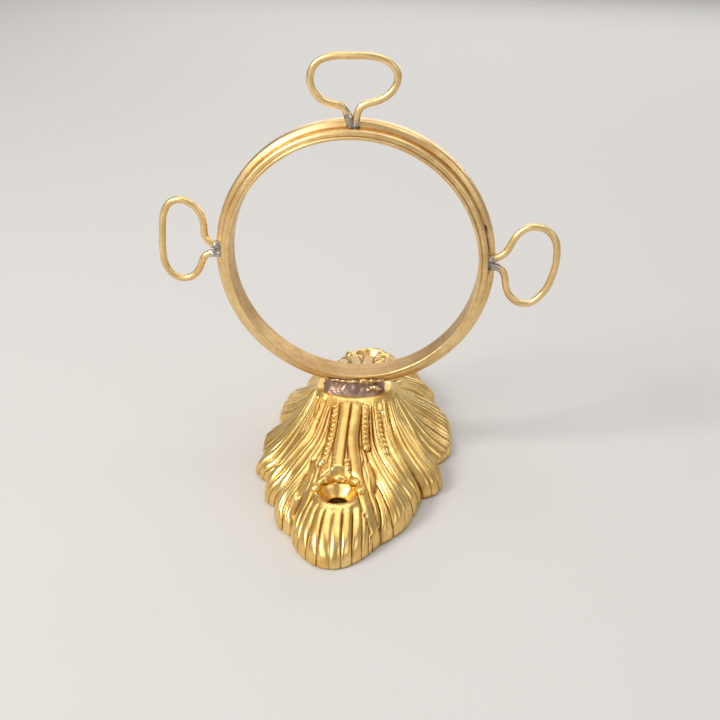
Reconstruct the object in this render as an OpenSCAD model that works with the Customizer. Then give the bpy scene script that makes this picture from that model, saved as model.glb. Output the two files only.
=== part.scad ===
// Wall-mounted tumbler and toothbrush holder in brass: a hollow cast acanthus rosette with two
// countersunk screw holes, a moulded ring soldered on edge to its platform, and three loops of
// bent wire soldered into the ring's groove, each for a toothbrush.
// Millimetres. The wall is the plane Z = 0 and +Z points away from it. The ring's axis runs
// along Y, with its lipped side towards -Y, and the origin is midway between the screw holes.

/* [Rosette] */
// Length of the rosette, from tip to tip
leaf_length = 122; // [110:1:130]
// Width of the rosette across its middle lobes
leaf_width = 58; // [52:1:64]
// Height of the soldering platform above the wall
platform_height = 22.5; // [20:0.5:25]
// Width of the platform, across the rosette
platform_width = 22; // [18:0.5:24]
// Depth of the platform, along the rosette
platform_depth = 17; // [14:0.5:20]
// Thickness of the casting
casting_wall = 2.6; // [2.2:0.2:3]
// Height of the rosette's edge above the wall
edge_height = 1.4; // [1:0.2:2]
// How deep the notches between the lobes cut into the outline, as a share of the radius
notch_depth = 0.09; // [0.02:0.01:0.12]
// How deep the valleys between the lobes run below the surface
valley_depth = 1.3; // [0.4:0.1:1.6]

/* [Screw holes] */
// Distance between the two screw holes
screw_spacing = 85; // [80:1:88]
// Diameter of each screw hole
screw_hole_d = 4.9; // [4:0.1:5.5]
// Diameter of each countersink at its mouth
countersink_d = 9.6; // [9:0.2:11]
// Depth of each countersink
countersink_depth = 2.6; // [2:0.1:2.8]
// Height of the collar round each screw hole above the wall
collar_height = 11.4; // [10.5:0.1:12.5]
// Diameter of the collar
collar_d = 12.6; // [12.2:0.2:13.4]

/* [Ring] */
// Inside diameter of the ring, where the tumbler goes
ring_bore = 70; // [66:1:74]
// Width of the ring's band, along its axis
band_width = 8.2; // [7.8:0.1:9]
// Thickness of the plain liner
liner_wall = 0.9; // [0.7:0.1:1.1]
// How far the moulding is set back from the liner's lip
lip_height = 0.7; // [0.5:0.1:0.9]
// Diameter of the small front bead
bead_d = 1.9; // [1.6:0.1:2]
// Diameter of the flange's rounded corners
flange_round = 3.5; // [3:0.1:3.6]
// How far the flange stands out from the liner
flange_reach = 3.66; // [3.3:0.05:3.9]
// Gap between the platform and the ring's foot, filled with solder
foot_gap = 0.8; // [0.4:0.1:2.5]
// How far the ring's middle stands forward of the rosette's middle
ring_forward = 0.9; // [0:0.1:2]
// Width of the solder between the platform and the ring
foot_solder_width = 17; // [13:0.5:18]

/* [Toothbrush loops] */
// Diameter of the loop wire
wire_d = 2; // [1.8:0.1:2.2]
// Outside length of a loop, along the ring's edge
loop_length = 25.6; // [22:0.2:27]
// Outside width of a loop, away from the ring
loop_width = 14.4; // [12:0.2:15]
// Gap between the ring's flange and the near side of a loop
loop_gap = 3.3; // [2.4:0.1:3.5]
// Distance between the centres of a loop's two legs
leg_spacing = 2.6; // [2.3:0.1:3]
// Radius of the bend at the top of each leg, to the wire's centre
leg_bend = 1.8; // [1.5:0.1:2.2]
// Where the loops' plane lies, back from the liner's lip
loop_setback = 3.2; // [3:0.1:3.6]

/* [Hidden] */

$fn = 96;
eps = 0.01;

// Place of each loop round the ring, in degrees from +X towards +Z, and how far the hand-bent
// loop leans in its own plane.
LEFT = [177.4, -0.5];
OUTER = [90, -2];
RIGHT = [0, -2];

// Rosette outline: the angles from the X axis, in one quarter, of the notches between its lobes.
NOTCHES = [18, 45.6, 61, 75.3];
notch_half_angle = 4.2;
outline_power = 1.6;
platform_power = 2.2;
leaf_points = 96;
leaf_rings = 9;
rim_face = 2.2;

// Ring profile, measured outwards from the liner and back from its lip.
liner_r = ring_bore / 2 + liner_wall;
bead_r = bead_d / 2;
bead_back = lip_height + bead_r;
groove_r = liner_r + 0.85;
flange_front = bead_back + bead_r + 0.45;
flange_r = liner_r + flange_reach;
corner_r = flange_round / 2;
ring_height = platform_height + foot_gap + flange_r;
ring_front = -band_width / 2 - ring_forward;
loop_y = ring_front + loop_setback;

// Loop path, as radii from the ring's centre.
bow_r = (loop_width - wire_d) / 2;
near_r = flange_r + loop_gap + wire_d / 2;
bow_centre_r = near_r + bow_r;
far_r = bow_centre_r + bow_r;
half_straight = (loop_length - loop_width) / 2;
leg_top_r = near_r - leg_bend;
leg_foot_r = groove_r + 0.35;
bend_x = leg_spacing / 2 + leg_bend;

// ---- Rosette surface: a function of the angle a and the share s of the way out to the edge.

// Angle folded into the first quarter, because both axes are lines of symmetry
function quarter(a) = let (b = ((a % 180) + 180) % 180) b > 90 ? 180 - b : b;

// Radius of a superellipse with half axes ax and ay
function oval_r(a, ax, ay, power) =
    pow(pow(abs(cos(a)) / ax, power) + pow(abs(sin(a)) / ay, power), -1 / power);

// 1 in the middle of a notch and 0 between notches
function notch(a) =
    max([for (n = NOTCHES) exp(-pow((quarter(a) - n) / notch_half_angle, 2))]);

function edge_r(a) =
    oval_r(a, leaf_width / 2, leaf_length / 2, outline_power) * (1 - notch_depth * notch(a));
function platform_r(a) = oval_r(a, platform_width / 2, platform_depth / 2, platform_power);
function leaf_r(a, s) = platform_r(a) + s * (edge_r(a) - platform_r(a));

// Share of the height left at s: a hollow flank that turns down at the edge. The flank is fuller
// towards the tips than towards the sides.
function rise(a, s) =
    let (full = 0.3 + 0.25 * pow(sin(quarter(a)), 2))
    (1 - full) * pow(1 - s, 1.7) + full * sqrt(1 - pow(s, 3));

function leaf_z(a, s) =
    edge_height + (platform_height - edge_height) * rise(a, s)
    - valley_depth * notch(a) * sin(180 * pow(s, 0.7));

// The same surface moved in by the casting's thickness, which gives the hollow back
function hollow_z(a, s) = leaf_z(a, s) - casting_wall;
function hollow_r(a, s) = leaf_r(a, s) - rim_face * (0.35 + 0.65 * s);

module leaf_shell() {
    n = leaf_points;
    skirt = 2;
    function at(r, i, z) = [r * cos(360 * i / n), r * sin(360 * i / n), z];
    function share(k) = k / leaf_rings;
    outer_skin = [for (k = [0 : leaf_rings], i = [0 : n - 1]) let (a = 360 * i / n)
        at(leaf_r(a, share(k)), i, leaf_z(a, share(k)))];
    outer_foot = [for (i = [0 : n - 1]) at(edge_r(360 * i / n), i, -skirt)];
    inner_foot = [for (i = [0 : n - 1]) at(hollow_r(360 * i / n, 1), i, -skirt)];
    inner_skin = [for (k = [leaf_rings - 1 : -1 : 0], i = [0 : n - 1]) let (a = 360 * i / n)
        at(hollow_r(a, share(k)), i, hollow_z(a, share(k)))];
    points = concat([[0, 0, platform_height]], outer_skin, outer_foot, inner_foot, inner_skin,
        [[0, 0, platform_height - casting_wall]]);
    rows = 2 * leaf_rings + 3;
    last = len(points) - 1;
    function p(row, i) = 1 + row * n + i % n;
    faces = concat(
        [for (i = [0 : n - 1]) [0, p(0, i + 1), p(0, i)]],
        [for (row = [0 : rows - 2], i = [0 : n - 1]) [p(row, i), p(row, i + 1), p(row + 1, i + 1)]],
        [for (row = [0 : rows - 2], i = [0 : n - 1]) [p(row, i), p(row + 1, i + 1), p(row + 1, i)]],
        [for (i = [0 : n - 1]) [last, p(rows - 1, i), p(rows - 1, i + 1)]]);
    polyhedron(points, faces);
}

// Everything that one screw takes out of the casting, from the wall up
module screw_cut() {
    cylinder(h = collar_height + eps, d = screw_hole_d);
    translate([0, 0, collar_height - countersink_depth])
        cylinder(h = countersink_depth, d1 = screw_hole_d, d2 = countersink_d);
    translate([0, 0, collar_height - eps])
        cylinder(h = platform_height, d = countersink_d);
}

module rosette() {
    collar_base = collar_height - countersink_depth - 2.6;
    color("goldenrod")
    difference() {
        union() {
            leaf_shell();
            for (side = [-1, 1])
                translate([0, side * screw_spacing / 2, collar_base])
                    cylinder(h = collar_height - collar_base, d = collar_d);
        }
        for (side = [-1, 1])
            translate([0, side * screw_spacing / 2, 0]) screw_cut();
        translate([-leaf_length, -leaf_length, -leaf_length])
            cube([2 * leaf_length, 2 * leaf_length, leaf_length]);
    }
}

// ---- Ring

// Puts a profile's solid of revolution on the ring's axis, with its Z = 0 on the liner's lip
module on_ring_axis() {
    translate([0, ring_front, ring_height]) rotate([-90, 0, 0]) children();
}

// Half section of the moulding: a base strip, the front bead and the D-shaped flange
module moulding_section(inner_r) {
    translate([inner_r, lip_height]) square([groove_r - inner_r, band_width - lip_height]);
    translate([liner_r + bead_r * 0.75, bead_back]) circle(r = bead_r);
    translate([inner_r, flange_front])
        square([flange_r - corner_r - inner_r, band_width - flange_front]);
    translate([inner_r, flange_front + corner_r])
        square([flange_r - inner_r, band_width - flange_front - 2 * corner_r]);
    for (back = [flange_front + corner_r, band_width - corner_r])
        translate([flange_r - corner_r, back]) circle(r = corner_r);
}

module ring_liner() {
    color("peru")
    on_ring_axis() rotate_extrude()
        translate([ring_bore / 2, 0]) square([liner_wall, band_width]);
}

module ring_moulding() {
    color("darkgoldenrod")
    difference() {
        on_ring_axis() rotate_extrude() difference() {
            moulding_section(liner_r - 1);
            translate([0, -1]) square([liner_r, band_width + 2]);
        }
        for (place = [LEFT, OUTER, RIGHT]) at_loop(place) loop_legs();
    }
}

// The ring as one solid disc, which solder is cut back to
module ring_disc() {
    on_ring_axis() rotate_extrude() {
        moulding_section(0);
        square([liner_r, band_width]);
    }
}

// A drop of brass in the cove behind the lip, where the ring's two ends were brazed
module ring_seam_braze() {
    seam_angle = -85;
    drop_angle = 3.4;
    drop_r = 0.8;
    color("gold")
    on_ring_axis() rotate([0, 0, -seam_angle - drop_angle / 2]) rotate_extrude(angle = drop_angle)
        difference() {
            translate([liner_r + 0.3, lip_height - 0.1]) circle(r = drop_r);
            moulding_section(liner_r);
            square([liner_r, band_width]);
        }
}

// Solder between the platform and the ring: a fillet in front and behind, cut back to the ring
module foot_solder() {
    solder_depth = 13.4;
    fillet_height = 3.6;
    middle = ring_front + band_width / 2 - 0.1;
    color("dimgray")
    difference() {
        intersection() {
            translate([0, middle, platform_height]) linear_extrude(2 * fillet_height) {
                square([foot_solder_width - solder_depth, solder_depth], center = true);
                for (side = [-1, 1])
                    translate([side * (foot_solder_width - solder_depth) / 2, 0])
                        circle(d = solder_depth);
            }
            translate([-foot_solder_width, middle, platform_height]) rotate([90, 0, 90])
                linear_extrude(2 * foot_solder_width)
                    polygon([[-solder_depth / 2, 0], [solder_depth / 2, 0],
                        [band_width / 2 - 0.4, fillet_height], [0.4 - band_width / 2, fillet_height]]);
        }
        ring_disc();
    }
}

// ---- Toothbrush loops, drawn in the X-Y plane with +Y away from the ring's centre

// Turns the loop's plane upright, leans it about its foot and carries it round the ring
module at_loop(place) {
    translate([0, loop_y, ring_height]) rotate([0, 90 - place[0], 0]) rotate([90, 0, 0])
        translate([0, leg_foot_r, 0]) rotate([0, 0, place[1]]) translate([0, -leg_foot_r, 0])
            children();
}

// Wire from x0 to x1 at height y
module wire_across(x0, x1, y) {
    translate([x0, y, 0]) rotate([0, 90, 0]) cylinder(h = x1 - x0, d = wire_d);
}

// Wire bent to radius r about [x, y], from one angle to another
module wire_bend(x, y, r, from, to) {
    translate([x, y, 0]) rotate([0, 0, from]) rotate_extrude(angle = to - from)
        translate([r, 0]) circle(d = wire_d);
}

module loop_legs() {
    for (side = [-1, 1])
        translate([side * leg_spacing / 2, leg_foot_r, 0]) rotate([-90, 0, 0])
            cylinder(h = leg_top_r - leg_foot_r, d = wire_d);
}

module loop_wire() {
    loop_legs();
    wire_across(-half_straight, half_straight, far_r);
    for (side = [0, 1]) mirror([side, 0, 0]) {
        wire_bend(half_straight, bow_centre_r, bow_r, -90, 90);
        wire_across(bend_x, half_straight, near_r);
        wire_bend(bend_x, leg_top_r, leg_bend, 90, 180);
    }
}

module left_loop() { color("peru") at_loop(LEFT) loop_wire(); }
module outer_loop() { color("peru") at_loop(OUTER) loop_wire(); }
module right_loop() { color("peru") at_loop(RIGHT) loop_wire(); }

// Solder round the feet of a loop's legs, cut back to the wire and the ring
module leg_solder(place) {
    bead_length = 5.2;
    bead_width = 2.9;
    color("silver")
    difference() {
        at_loop(place) translate([0, flange_r - 0.9, 0]) rotate([0, 90, 0])
            cylinder(h = bead_length, d = bead_width, center = true);
        at_loop(place) loop_legs();
        ring_disc();
    }
}

module left_solder() { leg_solder(LEFT); }
module outer_solder() { leg_solder(OUTER); }
module right_solder() { leg_solder(RIGHT); }

rosette();
ring_liner();
ring_moulding();
ring_seam_braze();
foot_solder();
left_loop();
outer_loop();
right_loop();
left_solder();
outer_solder();
right_solder();
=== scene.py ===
"""Looks of a cast brass wall holder for a tumbler and three toothbrushes.

Every length in this file is in millimetres until a mesh is made, and the wall is the plane z = 0.
The rosette is a two-parameter relief on flow lines, the ring is two profiles turned about one
axis, the loops are one bent path each, and the solder is laid as uneven closed skins.
"""

import logging
import math
from dataclasses import dataclass, field
from enum import Enum

import bmesh
import bpy
import numpy as np
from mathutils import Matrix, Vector


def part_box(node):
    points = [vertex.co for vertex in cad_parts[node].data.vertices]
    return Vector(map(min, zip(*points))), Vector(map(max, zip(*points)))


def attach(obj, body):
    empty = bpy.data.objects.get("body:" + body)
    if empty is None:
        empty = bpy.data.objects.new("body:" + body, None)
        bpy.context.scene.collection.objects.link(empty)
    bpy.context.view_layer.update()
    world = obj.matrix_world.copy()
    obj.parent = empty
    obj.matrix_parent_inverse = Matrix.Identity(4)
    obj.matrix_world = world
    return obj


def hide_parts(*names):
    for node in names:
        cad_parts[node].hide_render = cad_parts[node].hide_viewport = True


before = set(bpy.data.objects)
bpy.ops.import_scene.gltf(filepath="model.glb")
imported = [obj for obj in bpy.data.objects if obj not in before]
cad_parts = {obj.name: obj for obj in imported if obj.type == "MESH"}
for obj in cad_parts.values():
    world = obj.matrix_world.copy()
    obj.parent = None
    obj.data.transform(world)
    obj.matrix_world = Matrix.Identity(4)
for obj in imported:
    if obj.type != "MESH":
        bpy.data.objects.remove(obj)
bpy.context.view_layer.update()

LOG = logging.getLogger("wall_holder")
MM = 0.001

Chain = tuple[tuple[float, float], ...]
Colour = tuple[float, float, float, float]
Skin = tuple[np.ndarray, list[np.ndarray]]


class Slot(Enum):
    """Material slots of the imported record."""

    CASTING = "gilt_casting"
    RING = "ring_brass"
    WIRE = "wire_brass"
    BRAZE = "braze"
    DARK_SOLDER = "dark_solder"
    BRIGHT_SOLDER = "bright_solder"


# ---------------------------------------------------------------- numbers on arrays


def smooth(x: np.ndarray, low: float, high: float) -> np.ndarray:
    """Eased step: 0 below low, 1 above high, and 3t^2 - 2t^3 between them.

    Args:
        x: Values to ease.
        low: Where the step starts.
        high: Where the step ends, which may be below low for a falling step.

    Returns:
        Array of x's shape, from 0 to 1.
    """
    t = np.clip((x - low) / (high - low), 0.0, 1.0)
    return t * t * (3.0 - 2.0 * t)


def spline(points: np.ndarray, at: np.ndarray) -> np.ndarray:
    """Catmull-Rom curve through evenly numbered points.

    Between points b and c, with neighbours a and d and share t, the value is half of
    2b + (c - a)t + (2a - 5b + 4c - d)t^2 + (3b - a - 3c + d)t^3.

    Args:
        points: Array whose first axis numbers the points.
        at: Positions along that numbering.

    Returns:
        Array with at's shape followed by the shape of one point.
    """
    last = len(points) - 1
    k = np.clip(np.floor(at).astype(int), 0, last - 1)
    t = (at - k).reshape(at.shape + (1,) * (points.ndim - 1))
    b, c = points[k], points[k + 1]
    a = np.where((k > 0).reshape(t.shape), points[np.maximum(k - 1, 0)], 2 * b - c)
    d = np.where((k + 2 <= last).reshape(t.shape), points[np.minimum(k + 2, last)], 2 * c - b)
    bend = (2 * a - 5 * b + 4 * c - d) * t**2 + (3 * b - a - 3 * c + d) * t**3
    return 0.5 * (2 * b + (c - a) * t + bend)


def ripple(points: np.ndarray, length: float, seed: int, waves: int = 14) -> np.ndarray:
    """Smooth unevenness: a sum of sine waves in random directions, scaled to about -1 to 1.

    Args:
        points: Array of positions, last axis x, y, z.
        length: Typical wavelength.
        seed: Seed of the random directions.
        waves: Number of waves.

    Returns:
        Array of the positions' leading shape.
    """
    rng = np.random.default_rng(seed)
    way = rng.normal(size=(points.shape[-1], waves))
    way *= 2 * math.pi / length / np.linalg.norm(way, axis=0) * rng.uniform(0.6, 1.7, waves)
    return np.sin(points @ way + rng.uniform(0, 2 * math.pi, waves)).sum(-1) / math.sqrt(waves)


def to_line(u: np.ndarray, w: np.ndarray, line: np.ndarray) -> tuple[np.ndarray, np.ndarray]:
    """Distance from plan positions to a chain of straight pieces.

    For each piece the foot of the perpendicular is clamped to the piece, and the nearest counts.

    Args:
        u: Plan positions across the rosette.
        w: Plan positions along the rosette.
        line: Corner points of the chain, one row each.

    Returns:
        The distance, and how far along the chain the nearest point lies.
    """
    best = np.full(u.shape, 1e9)
    along = np.zeros(u.shape)
    run = 0.0
    for a, b in zip(line[:-1], line[1:]):
        step = b - a
        size = float(np.hypot(*step))
        t = np.clip(((u - a[0]) * step[0] + (w - a[1]) * step[1]) / size**2, 0, 1)
        gap = np.hypot(u - a[0] - t * step[0], w - a[1] - t * step[1])
        nearer = gap < best
        best = np.where(nearer, gap, best)
        along = np.where(nearer, run + t * size, along)
        run += size
    return best, along


def curve_through(corners: Chain, steps: int = 5) -> np.ndarray:
    """A chain of short straight pieces on the Catmull-Rom curve through the corners."""
    points = np.array(corners, float)
    return spline(points, np.linspace(0, len(points) - 1, steps * (len(points) - 1) + 1))


# ---------------------------------------------------------------- meshes


def quads(rows: int, columns: int, around: bool, first: int = 0) -> np.ndarray:
    """Faces of a grid whose vertices are numbered row by row.

    Args:
        rows: Number of vertex rows.
        columns: Number of vertex columns.
        around: True if the last column joins the first.
        first: Number of the grid's first vertex.

    Returns:
        Array of faces, four vertex numbers each.
    """
    spans = columns if around else columns - 1
    r, c = np.meshgrid(np.arange(rows - 1), np.arange(spans), indexing="ij")
    here, below, nxt = r * columns, (r + 1) * columns, (c + 1) % columns
    return (first + np.stack([here + c, here + nxt, below + nxt, below + c], -1)).reshape(-1, 4)


def make_piece(
    name: str,
    vertices: np.ndarray,
    faces: list[np.ndarray],
    values: dict[str, np.ndarray] | None = None,
    uv: np.ndarray | None = None,
    crease: float = 40.0,
) -> bpy.types.Object:
    """Puts a closed surface into a mesh object at the origin, with its faces pointing outwards.

    The volume is a sixth of the sum of a . (b x c) over the faces' triangles. Where it comes out
    negative the faces are turned round.

    Args:
        name: Piece name.
        vertices: Positions in millimetres.
        faces: Face arrays, each with three or four columns.
        values: Extra numbers per vertex, by attribute name.
        uv: Pattern position per vertex, in millimetres along and across the piece.
        crease: Angle in degrees above which an edge is sharp.

    Returns:
        The new object.
    """
    place = np.asarray(vertices, float) * MM
    volume = 0.0
    for f in faces:
        for k in range(1, f.shape[1] - 1):
            a, b, c = place[f[:, 0]], place[f[:, k]], place[f[:, k + 1]]
            volume += float(np.einsum("ij,ij->", a, np.cross(b, c))) / 6
    if volume < 0:
        faces = [f[:, ::-1] for f in faces]
    mesh = bpy.data.meshes.new(name)
    sizes = np.concatenate([np.full(len(f), f.shape[1]) for f in faces])
    corners = np.concatenate([f.reshape(-1) for f in faces])
    mesh.vertices.add(len(place))
    mesh.vertices.foreach_set("co", place.astype(np.float32).reshape(-1))
    mesh.loops.add(len(corners))
    mesh.loops.foreach_set("vertex_index", corners.astype(np.int32))
    mesh.polygons.add(len(sizes))
    starts = np.concatenate([[0], np.cumsum(sizes)[:-1]])
    mesh.polygons.foreach_set("loop_start", starts.astype(np.int32))
    mesh.polygons.foreach_set("loop_total", sizes.astype(np.int32))
    mesh.update(calc_edges=True)
    mesh.polygons.foreach_set("use_smooth", np.ones(len(sizes), bool))
    for key, numbers in (values or {}).items():
        layer = mesh.attributes.new(key, "FLOAT", "POINT")
        layer.data.foreach_set("value", np.asarray(numbers, np.float32).reshape(-1))
    if uv is not None:
        layer = mesh.uv_layers.new(name="run")
        layer.data.foreach_set("uv", np.asarray(uv, np.float32)[corners].reshape(-1))
    mesh.validate()
    mesh.set_sharp_from_angle(angle=math.radians(crease))
    piece = bpy.data.objects.new(name, mesh)
    bpy.context.scene.collection.objects.link(piece)
    return piece


def tube(
    path: np.ndarray, radius: np.ndarray, sides: int, normal: np.ndarray
) -> tuple[np.ndarray, list[np.ndarray], np.ndarray]:
    """Skin of a wire that lies in one plane, with rounded ends.

    At each path point stands a circle of the given radius, spanned by the plane's normal and the
    cross product of the path's direction with it. Each end gets a circle of 0.72 times the radius,
    set out by 0.42 times the radius, and a pole a quarter of that circle's radius beyond it.

    Args:
        path: Path points.
        radius: Radius at each path point, or at each path point and side.
        sides: Number of vertices round the wire.
        normal: Unit normal of the path's plane.

    Returns:
        Vertices, faces, and the pattern position of each vertex.
    """
    way = np.gradient(path, axis=0)
    way /= np.linalg.norm(way, axis=1)[:, None]
    radius = np.broadcast_to(radius.reshape(len(path), -1), (len(path), sides))
    end_share = 0.72
    ends = 0.42 * radius.mean(1)
    path = np.vstack([path[0] - way[0] * ends[0], path, path[-1] + way[-1] * ends[-1]])
    way = np.vstack([way[0], way, way[-1]])
    radius = np.concatenate([radius[:1] * end_share, radius, radius[-1:] * end_share])
    side = np.cross(way, normal)
    turn = np.linspace(0, 2 * math.pi, sides, endpoint=False)
    ring = path[:, None] + radius[:, :, None] * (
        np.cos(turn)[None, :, None] * side[:, None] + np.sin(turn)[None, :, None] * normal
    )
    rows = len(path)
    reach = radius[[0, -1]].mean(1) / 4
    poles = np.array([path[0] - way[0] * reach[0], path[-1] + way[-1] * reach[1]])
    vertices = np.vstack([ring.reshape(-1, 3), poles])
    j = np.arange(sides)
    nxt = (j + 1) % sides
    first = np.stack([np.full(sides, rows * sides), nxt, j], -1)
    last = (rows - 1) * sides
    second = np.stack([np.full(sides, rows * sides + 1), last + j, last + nxt], -1)
    run = np.concatenate([[0], np.cumsum(np.linalg.norm(np.diff(path, axis=0), axis=1))])
    across = np.abs(turn - math.pi) * radius.mean()
    uv = np.stack(np.broadcast_arrays(run[:, None], across[None, :]), -1).reshape(-1, 2)
    uv = np.vstack([uv, [run[0], 0], [run[-1], 0]])
    return vertices, [quads(rows, sides, True), first, second], uv


def blob(
    centre: np.ndarray,
    axes: np.ndarray,
    half: np.ndarray,
    seed: int,
    rough: float,
    power: float = 2.0,
    size: tuple[int, int] = (22, 40),
) -> Skin:
    """Skin of a drop of solder: a superellipsoid whose surface is moved in and out by ripples.

    A point at longitude a and latitude b has the local position half * (C(a)C(b), S(a)C(b), S(b)),
    where C and S are the cosine and sine raised to 2 / power with their sign kept.

    Args:
        centre: Middle of the drop.
        axes: Its three directions, one row each.
        half: Its three half sizes.
        seed: Seed of the ripples.
        rough: Height of the ripples.
        power: 2 for an ellipsoid, more for a squarer form.
        size: Rows from pole to pole and columns round the drop.

    Returns:
        Vertices and faces.
    """
    rows, columns = size
    b = np.linspace(-math.pi / 2, math.pi / 2, rows)[1:-1, None]
    a = np.linspace(0, 2 * math.pi, columns, endpoint=False)[None, :]
    wavelength = 2.2

    def shaped(x: np.ndarray) -> np.ndarray:
        """Raises to 2 / power and keeps the sign."""
        return np.sign(x) * np.abs(x) ** (2 / power)

    level = shaped(np.cos(b))
    parts = np.broadcast_arrays(shaped(np.cos(a)) * level, shaped(np.sin(a)) * level, shaped(np.sin(b)))
    local = np.vstack([np.stack(parts, -1).reshape(-1, 3), [[0, 0, -1.0], [0, 0, 1.0]]])
    outward = local / np.linalg.norm(local, axis=1)[:, None]
    uneven = rough * ripple(local * half, wavelength, seed)
    place = (local * half + outward * uneven[:, None]) @ axes + centre
    j = np.arange(columns)
    nxt = (j + 1) % columns
    n = (rows - 2) * columns
    low = np.stack([np.full(columns, n), nxt, j], -1)
    top = np.stack([np.full(columns, n + 1), n - columns + j, n - columns + nxt], -1)
    return place, [quads(rows - 2, columns, True), low, top]


def merged(parts: list[Skin]) -> Skin:
    """Joins several closed skins into one.

    Args:
        parts: Vertices and faces of each skin.

    Returns:
        All vertices, and all faces with their numbers moved on.
    """
    starts = np.concatenate([[0], np.cumsum([len(place) for place, _ in parts])[:-1]]).astype(int)
    faces = [f + start for start, (_, skins) in zip(starts, parts) for f in skins]
    return np.vstack([place for place, _ in parts]), faces


def dress(piece: bpy.types.Object, finish: bpy.types.Material, slot: Slot, *nodes: str) -> None:
    """Gives a piece its finish, puts it on the fixed body and lets it stand for its CAD nodes.

    Args:
        piece: The piece.
        finish: Its material.
        slot: The record's material slot; not used.
        *nodes: CAD nodes that the piece replaces.
    """
    piece.data.materials.clear()
    piece.data.materials.append(finish)
    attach(piece, "root")
    if nodes:
        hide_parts(*nodes)
    LOG.info("%s: %d faces", piece.name, len(piece.data.polygons))


# ---------------------------------------------------------------- finishes


class Shader:
    """Small helper that places nodes in one tree and joins them."""

    def __init__(self, tree: bpy.types.NodeTree) -> None:
        """Keeps the tree."""
        self.tree = tree

    def node(self, kind: str, inputs: dict | None = None, **settings: object) -> bpy.types.Node:
        """Adds a node.

        Args:
            kind: Node type name.
            inputs: Sockets by name or number, each with a value or an output socket to join.
            **settings: Attributes of the node.

        Returns:
            The node.
        """
        made = self.tree.nodes.new(kind)
        for key, value in settings.items():
            setattr(made, key, value)
        for key, value in (inputs or {}).items():
            if isinstance(value, bpy.types.NodeSocket):
                self.tree.links.new(value, made.inputs[key])
            else:
                made.inputs[key].default_value = value
        return made

    def math(self, operation: str, a: object, b: object, clamp: bool = False) -> bpy.types.NodeSocket:
        """Arithmetic on two values."""
        return self.node("ShaderNodeMath", {0: a, 1: b}, operation=operation, use_clamp=clamp).outputs[0]

    def times(self, a: object, b: object) -> bpy.types.NodeSocket:
        """Product of two values."""
        return self.math("MULTIPLY", a, b)

    def plus(self, a: object, b: object, clamp: bool = False) -> bpy.types.NodeSocket:
        """Sum of two values."""
        return self.math("ADD", a, b, clamp)

    def ramp(self, value: object, low: float, high: float) -> bpy.types.NodeSocket:
        """Eased step from 0 at low to 1 at high."""
        limits = {"Value": value, "From Min": low, "From Max": high}
        return self.node("ShaderNodeMapRange", limits, interpolation_type="SMOOTHSTEP").outputs["Result"]

    def mix(self, factor: object, a: object, b: object) -> bpy.types.NodeSocket:
        """Mixes two colours by a share of the second."""
        return self.node("ShaderNodeMix", {0: factor, 6: a, 7: b}, data_type="RGBA").outputs[2]

    def noise(self, vector: object, scale: float, detail: float, rough: float = 0.55) -> bpy.types.NodeSocket:
        """Noise value at a position."""
        inputs = {"Vector": vector, "Scale": scale, "Detail": detail, "Roughness": rough}
        return self.node("ShaderNodeTexNoise", inputs).outputs["Fac"]

    def group(self, tree: bpy.types.NodeTree, inputs: dict) -> bpy.types.Node:
        """Adds a node group with its inputs."""
        return self.node("ShaderNodeGroup", inputs, node_tree=tree)


def new_group(
    name: str, inputs: dict[str, tuple[str, object]], outputs: list[str]
) -> tuple[bpy.types.NodeTree, Shader, bpy.types.Node, bpy.types.Node]:
    """Starts a node group with named sockets.

    Args:
        name: Group name.
        inputs: Socket type and default by input name.
        outputs: Names of the outputs, all plain values.

    Returns:
        The tree, a helper for it, its input node and its output node.
    """
    tree = bpy.data.node_groups.new(name, "ShaderNodeTree")
    for key, (kind, default) in inputs.items():
        socket = tree.interface.new_socket(key, in_out="INPUT", socket_type=kind)
        if default is not None:
            socket.default_value = default
    for key in outputs:
        tree.interface.new_socket(key, in_out="OUTPUT", socket_type="NodeSocketFloat")
    shader = Shader(tree)
    return tree, shader, shader.node("NodeGroupInput"), shader.node("NodeGroupOutput")


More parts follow.
